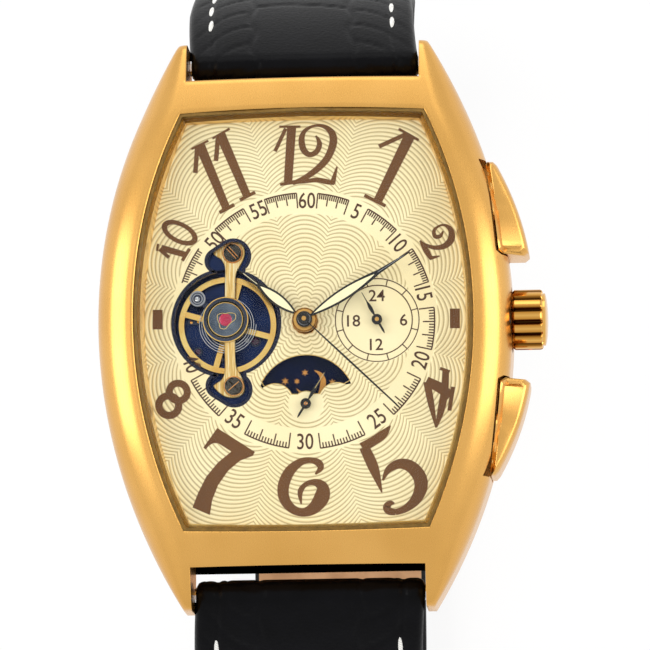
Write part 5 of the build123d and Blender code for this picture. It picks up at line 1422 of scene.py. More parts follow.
# Hour numerals as bands (1, or 2 where closed) of places and widths, or as an outline (0)
NUMERALS = [
    (1, [(-10.79, 16.4, 0.22), (-9.16, 17.21, 0.22)]),
    (1, [(-9.98, 16.78, 0.96), (-7.46, 10.74, 0.77)]),
    (1, [(-10.24, 16.46, 0.43), (-10.4, 14.09, 0.43)]),
    (1, [(-8.08, 10.25, 0.35), (-6.68, 11.02, 0.35)]),
    (1, [(-8.78, 17.42, 0.22), (-7.13, 18.38, 0.22)]),
    (1, [(-8.0, 17.79, 0.96), (-5.45, 11.87, 0.77)]),
    (1, [(-8.25, 17.45, 0.43), (-8.43, 15.24, 0.43)]),
    (1, [(-6.14, 11.46, 0.32), (-4.68, 12.22, 0.32)]),
    (1, [(-1.19, 18.54, 0.86), (-1.54, 13.19, 0.8)]),
    (1, [(-2.38, 18.56, 0.22), (-0.35, 18.56, 0.22)]),
    (1, [(-1.76, 18.38, 0.35), (-2.78, 16.17, 0.35)]),
    (1, [
        (-2.3, 12.95, 0.26), (-1.19, 13.16, 0.38), (0.08, 13.26, 0.38), (1.19, 13.39, 0.45),
        (2.14, 13.23, 0.51), (2.9, 13.07, 0.35),
    ]),
    (1, [(2.71, 13.07, 0.54), (3.14, 14.67, 0.16)]),
    (1, [
        (1.12, 17.68, 0.16), (1.47, 16.94, 0.48), (1.19, 16.14, 0.51), (0.52, 15.85, 0.51),
        (-0.05, 16.33, 0.61), (-0.24, 17.33, 0.57), (0.08, 18.16, 0.38), (1.0, 18.64, 0.24),
        (1.98, 18.54, 0.41), (2.68, 17.87, 0.67), (2.76, 16.88, 0.73), (2.23, 15.53, 0.67),
        (1.28, 14.48, 0.61), (0.08, 13.61, 0.51), (-1.1, 13.07, 0.38),
    ]),
    (1, [(9.04, 18.32, 0.26), (10.93, 17.23, 0.26)]),
    (1, [(10.1, 17.68, 1.05), (7.06, 11.43, 0.83)]),
    (1, [(9.66, 17.78, 0.41), (7.15, 16.62, 0.41)]),
    (1, [(5.76, 11.91, 0.32), (7.76, 10.87, 0.32)]),
    (1, [
        (13.25, 8.45, 0.13), (12.96, 7.97, 0.35), (12.48, 7.94, 0.41), (12.39, 8.52, 0.32),
        (12.93, 8.97, 0.19), (13.53, 8.97, 0.29), (14.01, 8.45, 0.54), (13.98, 7.62, 0.67),
        (13.37, 7.01, 0.54), (12.45, 6.85, 0.41), (11.6, 7.11, 0.29), (11.02, 7.49, 0.19),
    ]),
    (1, [(11.06, 7.52, 0.19), (11.6, 6.6, 0.54), (12.13, 5.73, 0.32)]),
    (1, [(11.98, 5.83, 0.38), (12.9, 6.05, 0.13)]),
    (1, [(11.66, -6.03, 0.7), (12.04, -8.08, 0.61), (12.52, -10.41, 0.16)]),
    (1, [(11.6, -5.96, 0.89), (12.93, -6.63, 0.99), (13.88, -7.4, 0.89)]),
    (1, [(12.52, -10.38, 0.19), (12.99, -8.72, 0.67), (13.34, -6.79, 0.7), (13.44, -4.97, 0.61)]),
    (1, [(12.9, -4.74, 0.29), (13.82, -5.06, 0.29)]),
    (1, [(14.13, -6.51, 0.38), (13.78, -8.78, 0.38)]),
    (1, [(5.5, -12.34, 0.99), (6.58, -11.7, 0.86), (7.53, -11.02, 0.8), (8.2, -10.22, 0.1)]),
    (1, [(5.69, -12.27, 0.96), (6.58, -14.24, 0.99), (7.37, -16.6, 0.13)]),
    (1, [
        (7.45, -15.44, 0.19), (8.01, -14.4, 0.64), (9.04, -13.87, 0.93), (10.1, -14.13, 1.15),
        (10.9, -15.04, 1.28), (11.06, -16.12, 1.24), (10.55, -17.3, 0.99), (9.6, -18.13, 0.7),
        (8.64, -18.49, 0.57),
    ]),
    (1, [
        (8.68, -18.49, 0.57), (8.04, -18.36, 0.73), (7.82, -17.97, 0.7), (8.17, -17.62, 0.54),
        (8.55, -17.65, 0.16),
    ]),
    (1, [
        (1.06, -14.87, 0.16), (1.54, -14.32, 0.57), (1.38, -13.81, 0.7), (0.58, -13.52, 0.54),
        (-0.4, -13.75, 0.73), (-1.38, -14.61, 0.99), (-1.95, -15.92, 1.08), (-1.89, -17.17, 1.02),
        (-1.19, -18.13, 0.86), (-0.15, -18.52, 0.8), (0.87, -18.13, 1.12), (1.66, -17.11, 1.44),
        (1.73, -16.12, 1.15), (1.03, -15.64, 0.64), (0.17, -15.83, 0.45), (-0.37, -16.56, 0.51),
        (-0.27, -17.72, 0.13),
    ]),
    (0, [
        (-8.25, -10.48), (-4.68, -12.75), (-4.87, -13.12), (-6.11, -13.6), (-7.22, -14.56),
        (-8.17, -15.92), (-8.73, -17.37), (-8.94, -18.77), (-10.59, -18.07), (-10.08, -16.72),
        (-9.29, -15.12), (-8.17, -13.76),
        (-6.91, -12.72), (-8.17, -11.92), (-8.65, -11.92), (-9.05, -12.16), (-9.36, -12.53), (-9.57, -12.34),
        (-9.05, -11.6),
    ]),
    (2, [
        (-11.55, -6.3, 0.67), (-11.24, -6.61, 0.67), (-11.12, -7.03, 0.67), (-11.22, -7.45, 0.67),
        (-11.53, -7.75, 0.67), (-11.95, -7.86, 0.67), (-12.38, -7.74, 0.67), (-12.69, -7.43, 0.67),
        (-12.82, -7.0, 0.67), (-12.71, -6.59, 0.67), (-12.4, -6.28, 0.67), (-11.98, -6.18, 0.67),
    ]),
    (2, [
        (-12.41, -7.53, 0.7), (-12.06, -7.88, 0.7), (-11.93, -8.35, 0.7), (-12.05, -8.81, 0.7),
        (-12.39, -9.15, 0.7), (-12.86, -9.27, 0.7), (-13.33, -9.14, 0.7), (-13.68, -8.79, 0.7),
        (-13.82, -8.32, 0.7), (-13.7, -7.85, 0.7), (-13.35, -7.51, 0.7), (-12.88, -7.39, 0.7),
    ]),
    (2, [
        (-10.47, 7.58, 0.54), (-10.84, 7.32, 0.48), (-11.49, 7.33, 0.43), (-12.25, 7.6, 0.41),
        (-12.91, 8.06, 0.43), (-13.29, 8.58, 0.48), (-13.3, 9.04, 0.54), (-12.93, 9.3, 0.48),
        (-12.28, 9.29, 0.43), (-11.53, 9.02, 0.41), (-10.87, 8.56, 0.43), (-10.48, 8.04, 0.48),
    ]),
    (1, [(-13.66, 6.85, 0.61), (-11.32, 6.18, 0.57)]),
    (1, [(-13.95, 7.24, 0.22), (-14.05, 6.56, 0.22)]),
    (1, [(-13.82, 6.72, 0.35), (-12.9, 5.92, 0.35)]),
    (1, [(-11.63, 5.6, 0.32), (-10.94, 6.76, 0.32)]),
]

# Bars at 9 and 3, the numerals' bevel, and steps in height between neighbouring bands, so that none coincide
BARS = [(-13.96, -0.07), (14.33, 0.05)]
BAR_HALF_WIDTH = 0.47
BAR_HALF_HEIGHT = 0.94
NUMERAL_BEVEL = 0.01
BAND_STEP = 0.0012


def build_numerals():
    """Hour numerals and bars, printed thick on the dial."""
    parts = []
    for index, (kind, line) in enumerate(NUMERALS):
        top = PRINT_HIGH + BAND_STEP * (index % 9)
        if kind == 0:
            parts.append(plate_points(line[::-1], PRINT_LOW, top, NUMERAL_BEVEL))
        else:
            parts.append(stroke(line, PRINT_LOW, top, closed=kind == 2, steps=6, bevel=NUMERAL_BEVEL))
    for x, y in BARS:
        left, right = x - BAR_HALF_WIDTH, x + BAR_HALF_WIDTH
        low, high = y - BAR_HALF_HEIGHT, y + BAR_HALF_HEIGHT
        corners = [(left, low), (right, low), (right, high), (left, high)]
        parts.append(plate_points(corners, PRINT_LOW, PRINT_HIGH, NUMERAL_BEVEL))
    points, faces = join_points(parts)
    points = [(*seated(x, y), z) for x, y, z in points]
    make_piece("hour_numerals", points, faces, [print_brown], "case", "dial", crease=30, weld=False)


build_numerals()


# Minute track: arcs, numbers, and marks spread by geometry nodes

# Middle of the track and radii of its arcs and numbers
TRACK = (0.11, -0.16)
ARC_RADIUS = 12.3
NUMBER_RADIUS = 11.58
ARC_WIDTH = 0.13

# Gaps between the marks of a span, lengths of its end marks, fifth marks and others, and their section
SPAN_MARKS = 15
END_MARK = 1.45
FIFTH_MARK = 1.12
SHORT_MARK = 0.52
MARK_WIDTH = 0.12
MARK_THICK = 0.034

# Small dial: its recess, the radii of its two rings and their marks
RECESS = 0.06
SMALL_RINGS = (3.34, 3.99)
SMALL_MARK_RADIUS = 3.69
SMALL_MARK_SIZE = (0.1, 0.7, 0.03)

# Spans of marks between the numbers, as first and last angle from 12 o'clock
SPANS = [
    (5.6, 19.8), (29.2, 44.9), (55.9, 72.4), (84.1, 103.1), (117.1, 137.0), (152.6, 173.3),
    (-18.5, -3.9), (-44.5, -28.7), (-72.9, -55.6), (-138.0, -117.9), (-172.6, -152.0),
]
TRACK_NUMBERS = [
    ("60", 0.8), ("5", 24.8), ("10", 50.1), ("15", 77.0), ("20", 109.1), ("25", 144.2), ("30", 180.0),
    ("35", -144.6), ("40", -111.0), ("50", -48.4), ("55", -22.8),
]


def on_track(angle, radius):
    """Place on the minute track at an angle from 12 o'clock."""
    t = math.radians(angle)
    return seated(TRACK[0] + radius * math.sin(t), TRACK[1] + radius * math.cos(t))


def build_track():
    """Arcs and marks between the numbers, where the open heart leaves them, and those of the small dial."""
    arcs, places, turns, sizes = [], [], [], []
    for first, last in SPANS:
        line = []
        for angle in np.linspace(first, last, 25):
            x, y = on_track(angle, ARC_RADIUS)
            if not contains(heart_edge, x, y):
                line.append((x, y, ARC_WIDTH))
        arcs.append(stroke(line, PRINT_LOW, DIAL_TOP + 0.02, steps=1))
        for k in range(SPAN_MARKS + 1):
            angle = first + (last - first) * k / SPAN_MARKS
            long = END_MARK if k in (0, SPAN_MARKS) else FIFTH_MARK if k in (5, 10) else SHORT_MARK
            x, y = on_track(angle, ARC_RADIUS - long / 2)
            inner = on_track(angle, ARC_RADIUS - long)
            if contains(heart_edge, *inner) or contains(heart_edge, x, y):
                continue
            places.append((x, y, DIAL_TOP + 0.005))
            turns.append((0.0, 0.0, -math.radians(angle)))
            sizes.append((MARK_WIDTH, long, MARK_THICK))
    for k in range(12):
        t = math.radians(15.0 + 30.0 * k)
        x = SMALL_DIAL[0] + SMALL_MARK_RADIUS * math.sin(t)
        y = SMALL_DIAL[1] + SMALL_MARK_RADIUS * math.cos(t)
        places.append((x, y, DIAL_TOP - RECESS + 0.005))
        turns.append((0.0, 0.0, -t))
        sizes.append(SMALL_MARK_SIZE)
    repeat_shape("track_marks", blocks, places, turns, sizes, line_brown, "case")
    for radius in SMALL_RINGS:
        ring = [(x, y, 0.1) for x, y in round_outline(SMALL_DIAL, radius, 96)]
        arcs.append(stroke(ring, PRINT_LOW - RECESS, DIAL_TOP - 0.035, closed=True, steps=1))
    make_piece("track_arcs", *join_points(arcs), [line_brown], "case", "dial", weld=False)


# Numbers: their heights, how they are narrowed or widened, and the small dial's with their places
TRACK_NUMBER_HEIGHT = 1.48
TRACK_NUMBER_SQUEEZE = 0.78
SMALL_NUMBER_HEIGHT = 1.08
SMALL_NUMBER_SQUEEZE = 1.02
SMALL_NUMBERS = [("24", (6.86, 2.36)), ("6", (9.38, -0.03)), ("12", (6.76, -2.34)), ("18", (4.62, -0.03))]


def build_numbers():
    """Minute numbers, upright in the upper half and turned about in the lower one, and the small dial's."""
    parts = []
    for text, angle in TRACK_NUMBERS:
        place = on_track(angle, NUMBER_RADIUS)
        turn = angle if abs(angle) < 90 else angle - math.copysign(180.0, angle)
        level = DIAL_TOP - 0.005
        parts.append(letters(text, TRACK_NUMBER_HEIGHT, TRACK_NUMBER_SQUEEZE, place, turn, level))
    for text, place in SMALL_NUMBERS:
        level = DIAL_TOP - RECESS - 0.005
        parts.append(letters(text, SMALL_NUMBER_HEIGHT, SMALL_NUMBER_SQUEEZE, place, 0.0, level))
    make_piece("small_numbers", *join_points(parts), [line_brown], "case", "dial", weld=False, outward=False)


build_track()
build_numbers()


# Hands

# Heights of the hands' undersides, the blades' and hubs' thickness, and where the hands point at rest
HOUR_LEVEL = 8.75
MINUTE_LEVEL = 9.2
SECOND_LEVEL = 9.65
SMALL_LEVEL = 8.2
BLADE = 0.16
HUB = 0.34
HOUR_ANGLE = -51.6
MINUTE_ANGLE = 58.2
SECOND_ANGLE = 134.0
DAY_ANGLE = -28.5
SMALL_ANGLE = 31.7


def leaf_outline(length, start, end, width, tip):
    """Outline of a leaf hand that points to 12, anticlockwise."""
    right = []
    for t in np.linspace(0.0, 1.0, 20):
        y = start + (end - start) * t
        foot = tip * (0.4 + 0.6 * t) / 2
        right.append((foot + (width / 2 - foot) * math.sin(math.pi * t) ** 0.9, y))
    right.append((min(tip * 0.25, 0.045), length))
    return right + [(-x, y) for x, y in right[::-1]]


def ring_body(centre, outer, bore, bottom, top, bevel=0.06):
    """A flat ring, the outer edge of its upper face bevelled."""
    profile = [(bore, bottom), (outer, bottom), (outer, top - bevel), (outer - bevel, top), (bore, top)]
    return lathe(centre, profile, 48, axis_hole=True)


def moved_points(part, angle, centre):
    """Points and faces turned clockwise about the upright axis and moved to a centre."""
    points, faces = part
    return [(p[0] + centre[0], p[1] + centre[1], p[2]) for p in turned(points, angle)], faces


def build_hand(name, node, body, centre, level, angle, length, leaf, tip, hub, bore,
               tail=0.0, inlay=None, hub_finish=None):
    """Bevelled leaf hand on a bored hub, with an inlay and a tail where it has them."""
    start, end, width = leaf
    blade = plate_points(leaf_outline(length, start, end, width, tip), level, level + BLADE, 0.025)
    parts = [moved_points(blade, angle, centre)]
    kinds = [0] * len(blade[1])
    if tail:
        line = [(0.0, -bore - 0.02, 0.2), (0.0, -tail * 0.75, 0.2), (0.0, -tail, 0.05)]
        more = moved_points(stroke(line, level, level + 0.15, bevel=0.03), angle, centre)
        parts.append(more)
        kinds += [0] * len(more[1])
    ring = ring_body(centre, hub, bore, level, level + HUB)
    parts.append(ring)
    kinds += [2 if hub_finish else 0] * len(ring[1])
    if inlay:
        inner_start, inner_end, inner_width = inlay
        outline = leaf_outline(inner_end, inner_start, inner_end - 0.02, inner_width, 0.04)
        more = moved_points(plate_points(outline, level + 0.1, level + 0.185, 0.0), angle, centre)
        parts.append(more)
        kinds += [1] * len(more[1])
    points, faces = join_points(parts)
    finishes = [black_steel, cream, hub_finish or black_steel]
    piece = make_piece(name, points, faces, finishes, body, "hand_leaf", crease=25, weld=False, kinds=kinds)
    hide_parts(node)


build_hand("hour_leaf", "hour_hand", "hours", CENTRE, HOUR_LEVEL, HOUR_ANGLE, length=8.1,
           leaf=(0.95, 5.7, 1.16), tip=0.34, hub=1.16, bore=1.06, inlay=(1.3, 5.3, 0.78),
           hub_finish=dark_hub_gold)
build_hand("minute_leaf", "minute_hand", "minutes", CENTRE, MINUTE_LEVEL, MINUTE_ANGLE, length=11.9,
           leaf=(0.7, 8.4, 1.16), tip=0.4, hub=0.76, bore=0.63, inlay=(1.1, 7.9, 0.78))
build_hand("second_needle", "second_hand", "seconds", CENTRE, SECOND_LEVEL, SECOND_ANGLE, length=12.5,
           leaf=(0.3, 11.9, 0.18), tip=0.15, hub=0.56, bore=0.23)
build_hand("day_leaf", "day_hand", "day", SMALL_DIAL, SMALL_LEVEL, DAY_ANGLE, length=3.0,
           leaf=(0.4, 2.0, 0.34), tip=0.1, hub=0.5, bore=0.21, tail=1.5)
build_hand("small_leaf", "small_hand", "small_seconds", SMALL_SECONDS, SMALL_LEVEL, SMALL_ANGLE, length=3.6,
           leaf=(0.4, 2.4, 0.34), tip=0.1, hub=0.5, bore=0.21, tail=1.55)

# Heights above a hand's underside of the lines along its tip and of the pin in its hub
LINE_RISE = 0.15
PIN_RISE = 0.33


def build_tips():
    """Light lines along the tips, and the pins in the hubs."""
    for name, body, centre, angle, first, last, foot, finish in (
        ("hour_tip_line", "hours", CENTRE, HOUR_ANGLE, 5.7, 7.4, HOUR_LEVEL, cream),
        ("minute_tip_line", "minutes", CENTRE, MINUTE_ANGLE, 8.3, 11.2, MINUTE_LEVEL, steel),
        ("small_tip_line", "small_seconds", SMALL_SECONDS, SMALL_ANGLE, 1.7, 3.4, SMALL_LEVEL, lip_gold),
    ):
        level = foot + LINE_RISE
        line = stroke([(0, first, 0.05), (0, last, 0.05)], level - 0.02, level + 0.03)
        make_piece(name, *moved_points(line, angle, centre), [finish], body, "hand_leaf")
    for name, body, centre, foot, size, finish in (
        ("second_pin", "seconds", CENTRE, SECOND_LEVEL, 0.22, polished_steel),
        ("day_pin", "day", SMALL_DIAL, SMALL_LEVEL, 0.19, copper),
        ("small_pin", "small_seconds", SMALL_SECONDS, SMALL_LEVEL, 0.19, copper),
    ):
        level = foot + PIN_RISE
        bore, outer = size * 0.45, size * 0.95
        profile = [
            (bore, level - 0.1), (outer, level - 0.1), (outer, level - 0.03),
            (size * 0.7, level), (bore, level - 0.04),
        ]
        ring = lathe(centre, profile, 24, axis_hole=True)
        make_piece(name, *ring, [finish], body, "gold_small", crease=30)


build_tips()


# Moon disc: enamel, stars and crescents

def enamel_material():
    """Deep blue enamel with a faint sparkle."""
    material, tree, shader = blank_material("night_enamel")
    place = place_of(tree)
    grain = noise(tree, place, 14.0, 3.0, 0.7)
    drift = noise(tree, place, 0.5, 2.0)
    colour = ramp(tree, drift, [(0.3, linear(3, 12, 36)), (0.75, linear(6, 18, 50))])
    tree.links.new(colour, shader.inputs["Base Color"])
    tree.links.new(spread(tree, grain, 0.25, 0.45), shader.inputs["Roughness"])
    shader.inputs["Specular IOR Level"].default_value = 0.08
    bump(tree, shader, grain, 0.003, 0.5)
    return material


night = enamel_material()
star_copper = lacquer("star_copper", linear(200, 140, 66), 0.35, 0.1, 0.5)

# Upper face of the disc, its two crescents as places and widths, and its stars as places and sizes
MOON_TOP = 7.24
CRESCENTS = [
    [(0.79, -4.63, 0.04), (1.35, -5.0, 0.34), (1.62, -5.65, 0.52), (1.5, -6.35, 0.46), (1.12, -6.95, 0.06)],
    [(-0.92, -6.35, 0.04), (-0.55, -6.72, 0.22), (0.0, -6.9, 0.3), (0.45, -6.82, 0.16), (0.7, -6.6, 0.04)],
]
STARS = [(-2.0, -5.63, 0.38), (-0.88, -5.66, 0.3), (-0.1, -4.84, 0.34), (2.48, -5.8, 0.34)]


def spun(points, angle):
    """Places on the moon disc turned about its axis, each with its width."""
    axis = SMALL_SECONDS[1]
    moved = turned([(x, y - axis, width) for x, y, width in points], angle)
    return [(x, y + axis, width) for x, y, width in moved]


def build_sky():
    """The sky of both halves of the disc, so that a half turn shows it again."""
    parts = []
    for half_turn in (0.0, 180.0):
        for line in CRESCENTS:
            parts.append(stroke(spun(line, half_turn), MOON_TOP - 0.01, MOON_TOP + 0.02, steps=8))
        for x, y, size in STARS:
            for spoke in range(3):
                t = math.radians(30 + 60 * spoke)
                dx, dy = size * math.cos(t), size * math.sin(t)
                line = spun([(x - dx, y - dy, 0.02), (x, y, 0.19), (x + dx, y + dy, 0.02)], half_turn)
                parts.append(stroke(line, MOON_TOP - 0.01, MOON_TOP + 0.015 + 0.002 * spoke, steps=1))
    make_piece("moon_sky", *join_points(parts), [star_copper], "moon", "moon", weld=False)


build_sky()


# Open heart: parts of the movement that the window shows

# How far a place seems to move across and along the dial for each millimetre below it, seen by the camera
SIGHT_SLIP = (0.0577, -0.149)

# Outline of the upper arm of the bridge and its head; the lower one is its mirror image
HEAD = [
    (-6.64, 1.95), (-6.63, 3.4), (-6.5, 4.5), (-6.12, 5.22), (-5.79, 5.9), (-5.68, 6.5), (-5.82, 7.05),
    (-6.28, 7.4), (-6.85, 7.5), (-7.48, 7.42), (-8.06, 7.08), (-8.45, 6.72), (-8.7, 6.36), (-8.4, 6.08),
    (-8.02, 5.84), (-7.72, 5.4), (-7.6, 4.8), (-7.62, 3.4), (-7.64, 1.95),
]
BRIDGE_LOW = 6.96
BRIDGE_TOP = 7.3

# Jewel setting, the wire spring on it as angles and reaches, and the place of the stud's rings
SETTING_TOP = 7.5
RUBY_RADIUS = 0.62
SPRING_WIRE = [
    (30, 1.05), (62, 0.72), (90, 0.56), (118, 0.7), (150, 0.86), (180, 0.74),
    (210, 0.7), (240, 0.95), (270, 0.88), (300, 0.62), (330, 0.62), (2, 0.95),
]
STUD = (-10.2, 2.0)

# Hairspring: its turns, steps in a turn, inner reach and the gap between turns
COIL_TURNS = 8
COIL_STEPS = 40
COIL_START = 0.95
COIL_PITCH = 0.228

# Bridge screws: where the one towards 12 lies before the shift; the other is its mirror image
SCREW_X = -6.8
SCREW_Y = 6.42


def sunk(x, y, level):
    """Place at a depth below the dial that shows at a given place in its window."""
    depth = DIAL_TOP - level
    x, y = seated(x, y)
    return x - SIGHT_SLIP[0] * depth, y - SIGHT_SLIP[1] * depth


def build_bridge():
    """Bridge over the balance: two brushed arms that end in heads with a hook to the left."""
    parts = []
    for side in (1, -1):
        outline = [(x, side * y) for x, y in smooth_line(HEAD, 4)][::side]
        parts.append(plate_points(outline, BRIDGE_LOW, BRIDGE_TOP, 0.06))
    parts.append(ring_body(BALANCE, 2.1, 1.0, BRIDGE_LOW, BRIDGE_TOP - 0.01, 0.03))
    points, faces = join_points(parts)
    points = [(*seated(x, y), z) for x, y, z in points]
    piece = make_piece("bridge_arms", points, faces, [bridge_gold], "case", "gold_small",
                       crease=30, weld=False)
    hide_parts("balance_bridge")


def moved_solid(name, node, to, material):
    """A copy of a solid moved to where its seat on the bridge is, in its place."""
    mesh = nodes[node].data.copy()
    mesh.transform(Matrix.Translation((to[0] * MM, to[1] * MM, 0.0)) @ nodes[node].matrix_world)
    mesh.materials.clear()
    mesh.materials.append(material)
    work = bmesh.new()
    work.from_mesh(mesh)
    bmesh.ops.remove_doubles(work, verts=work.verts, dist=WELD)
    work.to_mesh(mesh)
    work.free()
    finish_mesh(mesh, 30)
    piece = new_object(name, mesh)
    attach(piece, "case")
    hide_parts(node)


def build_setting(centre):
    """Jewel setting with its rings, ruby and wire spring."""
    top, low = SETTING_TOP - 0.05, SETTING_TOP - 0.079
    disc = [(0.02, low), (1.66, low), (1.66, SETTING_TOP - 0.06), (1.6, top), (0.02, top)]
    make_piece("setting_plate", *lathe(centre, disc, 64), [glass_slate], "case", "steel", crease=30)
    rings = join_points([
        ring_body(centre, 1.82, 1.6, SETTING_TOP - 0.16, SETTING_TOP),
        ring_body(centre, 2.2, 2.1, 7.4, 7.47, 0.02),
    ])
    make_piece("setting_ring", *rings, [wheel_gold], "case", "gold_small", crease=30)
    stone = [(RUBY_RADIUS, SETTING_TOP - 0.09)]
    for t in np.linspace(0, 1.45, 8):
        stone.append((RUBY_RADIUS * math.cos(t), SETTING_TOP - 0.06 + 0.13 * math.sin(t)))
    jewel = make_piece("centre_ruby", *lathe(centre, stone, 36), [ruby], "case", "ruby", crease=30)
    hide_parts("balance_jewel")
    wire = []
    for angle, reach in SPRING_WIRE:
        t = math.radians(angle)
        wire.append((centre[0] + reach * math.cos(t), centre[1] + reach * math.sin(t), 0.07))
    spring = stroke(wire, SETTING_TOP, SETTING_TOP + 0.05, closed=True, steps=6, bevel=0.015)
    make_piece("shock_spring", *spring, [lip_gold], "case", "gold_small", crease=30)


def build_hairspring():
    """Flat spiral about the balance's axis."""
    coil = []
    for k in range(COIL_TURNS * COIL_STEPS + 1):
        t = 2 * math.pi * k / COIL_STEPS
        reach = COIL_START + COIL_PITCH * k / COIL_STEPS
        coil.append((BALANCE[0] + reach * math.cos(t), BALANCE[1] + reach * math.sin(t), 0.06))
    band = stroke(coil, 6.5, 6.64, steps=1)
    spring = make_piece("hairspring_coils", *band, [polished_steel], "case", "steel", weld=False)
    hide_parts("hairspring")


def build_screw_marks(shift):
    """Gilt rings round the bridge screws, and painted glints: thin copper lines along the edges of their
    slots.
    """
    for k, side in enumerate((1, -1)):
        x, y = SCREW_X + shift[0], side * SCREW_Y + shift[1]
        ring = ring_body((x, y), 1.0, 0.78, 7.28, 7.38, 0.04)
        make_piece("screw_ring_%d" % k, *ring, [copper], "case", "gold_small", crease=30)
        glints = []
        t = math.radians(-48.0 if side > 0 else 40.0)
        for offset in ((-0.13, 0.13) if side > 0 else (0.0,)):
            cx, cy = x - offset * math.sin(t), y + offset * math.cos(t)
            dx, dy = 0.66 * math.cos(t), 0.66 * math.sin(t)
            glints.append(stroke([(cx - dx, cy - dy, 0.07), (cx + dx, cy + dy, 0.07)], 7.58, 7.61))
        make_piece("painted_slot_glints_%d" % k, *join_points(glints), [copper], "case", "gold_small")


def build_heart():
    """What the window shows above the balance, seated with the dial."""
    centre = seated(*BALANCE)
    shift = (centre[0] - BALANCE[0], centre[1] - BALANCE[1])
    moved_solid("setting_body", "shock_setting", shift, slate)
    moved_solid("index_arm", "regulator", shift, dark_steel)
    moved_solid("index_stud", "hairspring_stud", shift, polished_steel)
    moved_solid("bridge_screw_heads", "bridge_screws", shift, slate)
    build_setting(centre)
    build_hairspring()
    stud = seated(*STUD)
    rings = [ring_body(stud, 0.76, 0.6, 7.44, 7.52, 0.02), ring_body(stud, 0.5, 0.4, 7.44, 7.5, 0.02)]
    make_piece("stud_rings", *join_points(rings), [steel], "case", "steel", crease=30)
    build_screw_marks(shift)


# Floor of the well: its level, jewels as places and sizes, plates as places and widths, and dots
FLOOR = 5.4
FLOOR_PLATE = 0.1
FLOOR_JEWELS = [(-4.67, -2.13, 0.4), (-8.0, -3.88, 0.24), (-10.15, -3.18, 0.3)]
FLOOR_PLATES = [
    [(-11.15, -0.3, 0.3), (-10.95, -0.3, 0.56), (-10.45, -0.3, 0.6), (-9.8, -0.3, 0.5)],
    [(-11.3, 2.0, 0.5), (-10.9, 2.7, 0.55), (-10.2, 3.3, 0.4)],
]
FLOOR_DOTS = [(-10.79, -0.33), (-10.12, -0.27)]


def build_floor_details():
    """Jewels with rims, small plates and their dots on the floor of the well."""
    top = FLOOR + FLOOR_PLATE
    gems, rims, plates, dots = [], [], [], []
    for x, y, size in FLOOR_JEWELS:
        place = sunk(x, y, top)
        dome = [(size, FLOOR)]
        dome += [(size * math.cos(t), FLOOR + 0.04 + 0.1 * math.sin(t)) for t in np.linspace(0, 1.4, 6)]
        gems.append(lathe(place, dome, 24))
        rims.append(ring_body(place, size + 0.14, size, FLOOR, top, 0.03))
    for line in FLOOR_PLATES:
        moved = [sunk(x, y, top) + (width,) for x, y, width in line]
        plates.append(stroke(moved, FLOOR, top, steps=6, bevel=0.03))
    button = [(0.15, FLOOR + 0.08), (0.15, FLOOR + 0.12), (0.1, FLOOR + 0.15), (0.02, FLOOR + 0.16)]
    for x, y in FLOOR_DOTS:
        dots.append(lathe(sunk(x, y, FLOOR + 0.13), button, 20))
    make_piece("floor_gems", *join_points(gems), [plum], "case", "ruby", crease=30)
    make_piece("floor_rims", *join_points(rims), [dark_steel], "case", "steel", crease=30)
    make_piece("floor_plates", *join_points(plates), [dark_steel], "case", "steel", crease=30)
    make_piece("floor_dots", *join_points(dots), [bright_gold], "case", "gold_small", crease=30)


def plate_material():
    """Dark blue main plate with overlapping polished circles."""
    material, tree, shader = blank_material("blue_plate")
    place = place_of(tree)
    cells = tree.nodes.new("ShaderNodeTexVoronoi")
    cells.inputs["Scale"].default_value = 0.9
    cells.inputs["Randomness"].default_value = 0.0
    tree.links.new(place, cells.inputs["Vector"])
    wave = calc(tree, "SINE", calc(tree, "MULTIPLY", cells.outputs["Distance"], 70.0))
    rings = calc(tree, "MULTIPLY_ADD", wave, 0.5, 0.5)
    drift = noise(tree, place, 0.35, 2.0)
    colour = ramp(tree, drift, [(0.3, linear(16, 28, 62)), (0.7, linear(36, 54, 98))])
    tree.links.new(colour, shader.inputs["Base Color"])
    tree.links.new(spread(tree, rings, 0.24, 0.36), shader.inputs["Roughness"])
    shader.inputs["Metallic"].default_value = 0.85
    bump(tree, shader, rings, 0.004, 0.5)
    return material


STRIPE_PITCH = 2.2


def striped_material(name, dark, light):
    """Polished plate with broad straight stripes."""
    material, tree, shader = blank_material(name)
    place = place_of(tree)
    split = tree.nodes.new("ShaderNodeSeparateXYZ")
    tree.links.new(place, split.inputs[0])
    slanting = calc(tree, "ADD", split.outputs[0], split.outputs[1])
    share = calc(tree, "FRACT", calc(tree, "DIVIDE", slanting, STRIPE_PITCH))
    grain = noise(tree, place_of(tree, (1.0, 6.0, 1.0), (0.0, 0.0, math.radians(45))), 2.0, 4.0)
    tree.links.new(ramp(tree, share, [(0.0, dark), (0.85, light), (1.0, dark)]), shader.inputs["Base Color"])
    tree.links.new(spread(tree, grain, 0.2, 0.34), shader.inputs["Roughness"])
    shader.inputs["Metallic"].default_value = 1.0
    bump(tree, shader, calc(tree, "ADD", share, calc(tree, "MULTIPLY", grain, 0.2)), 0.006, 0.4)
    return material


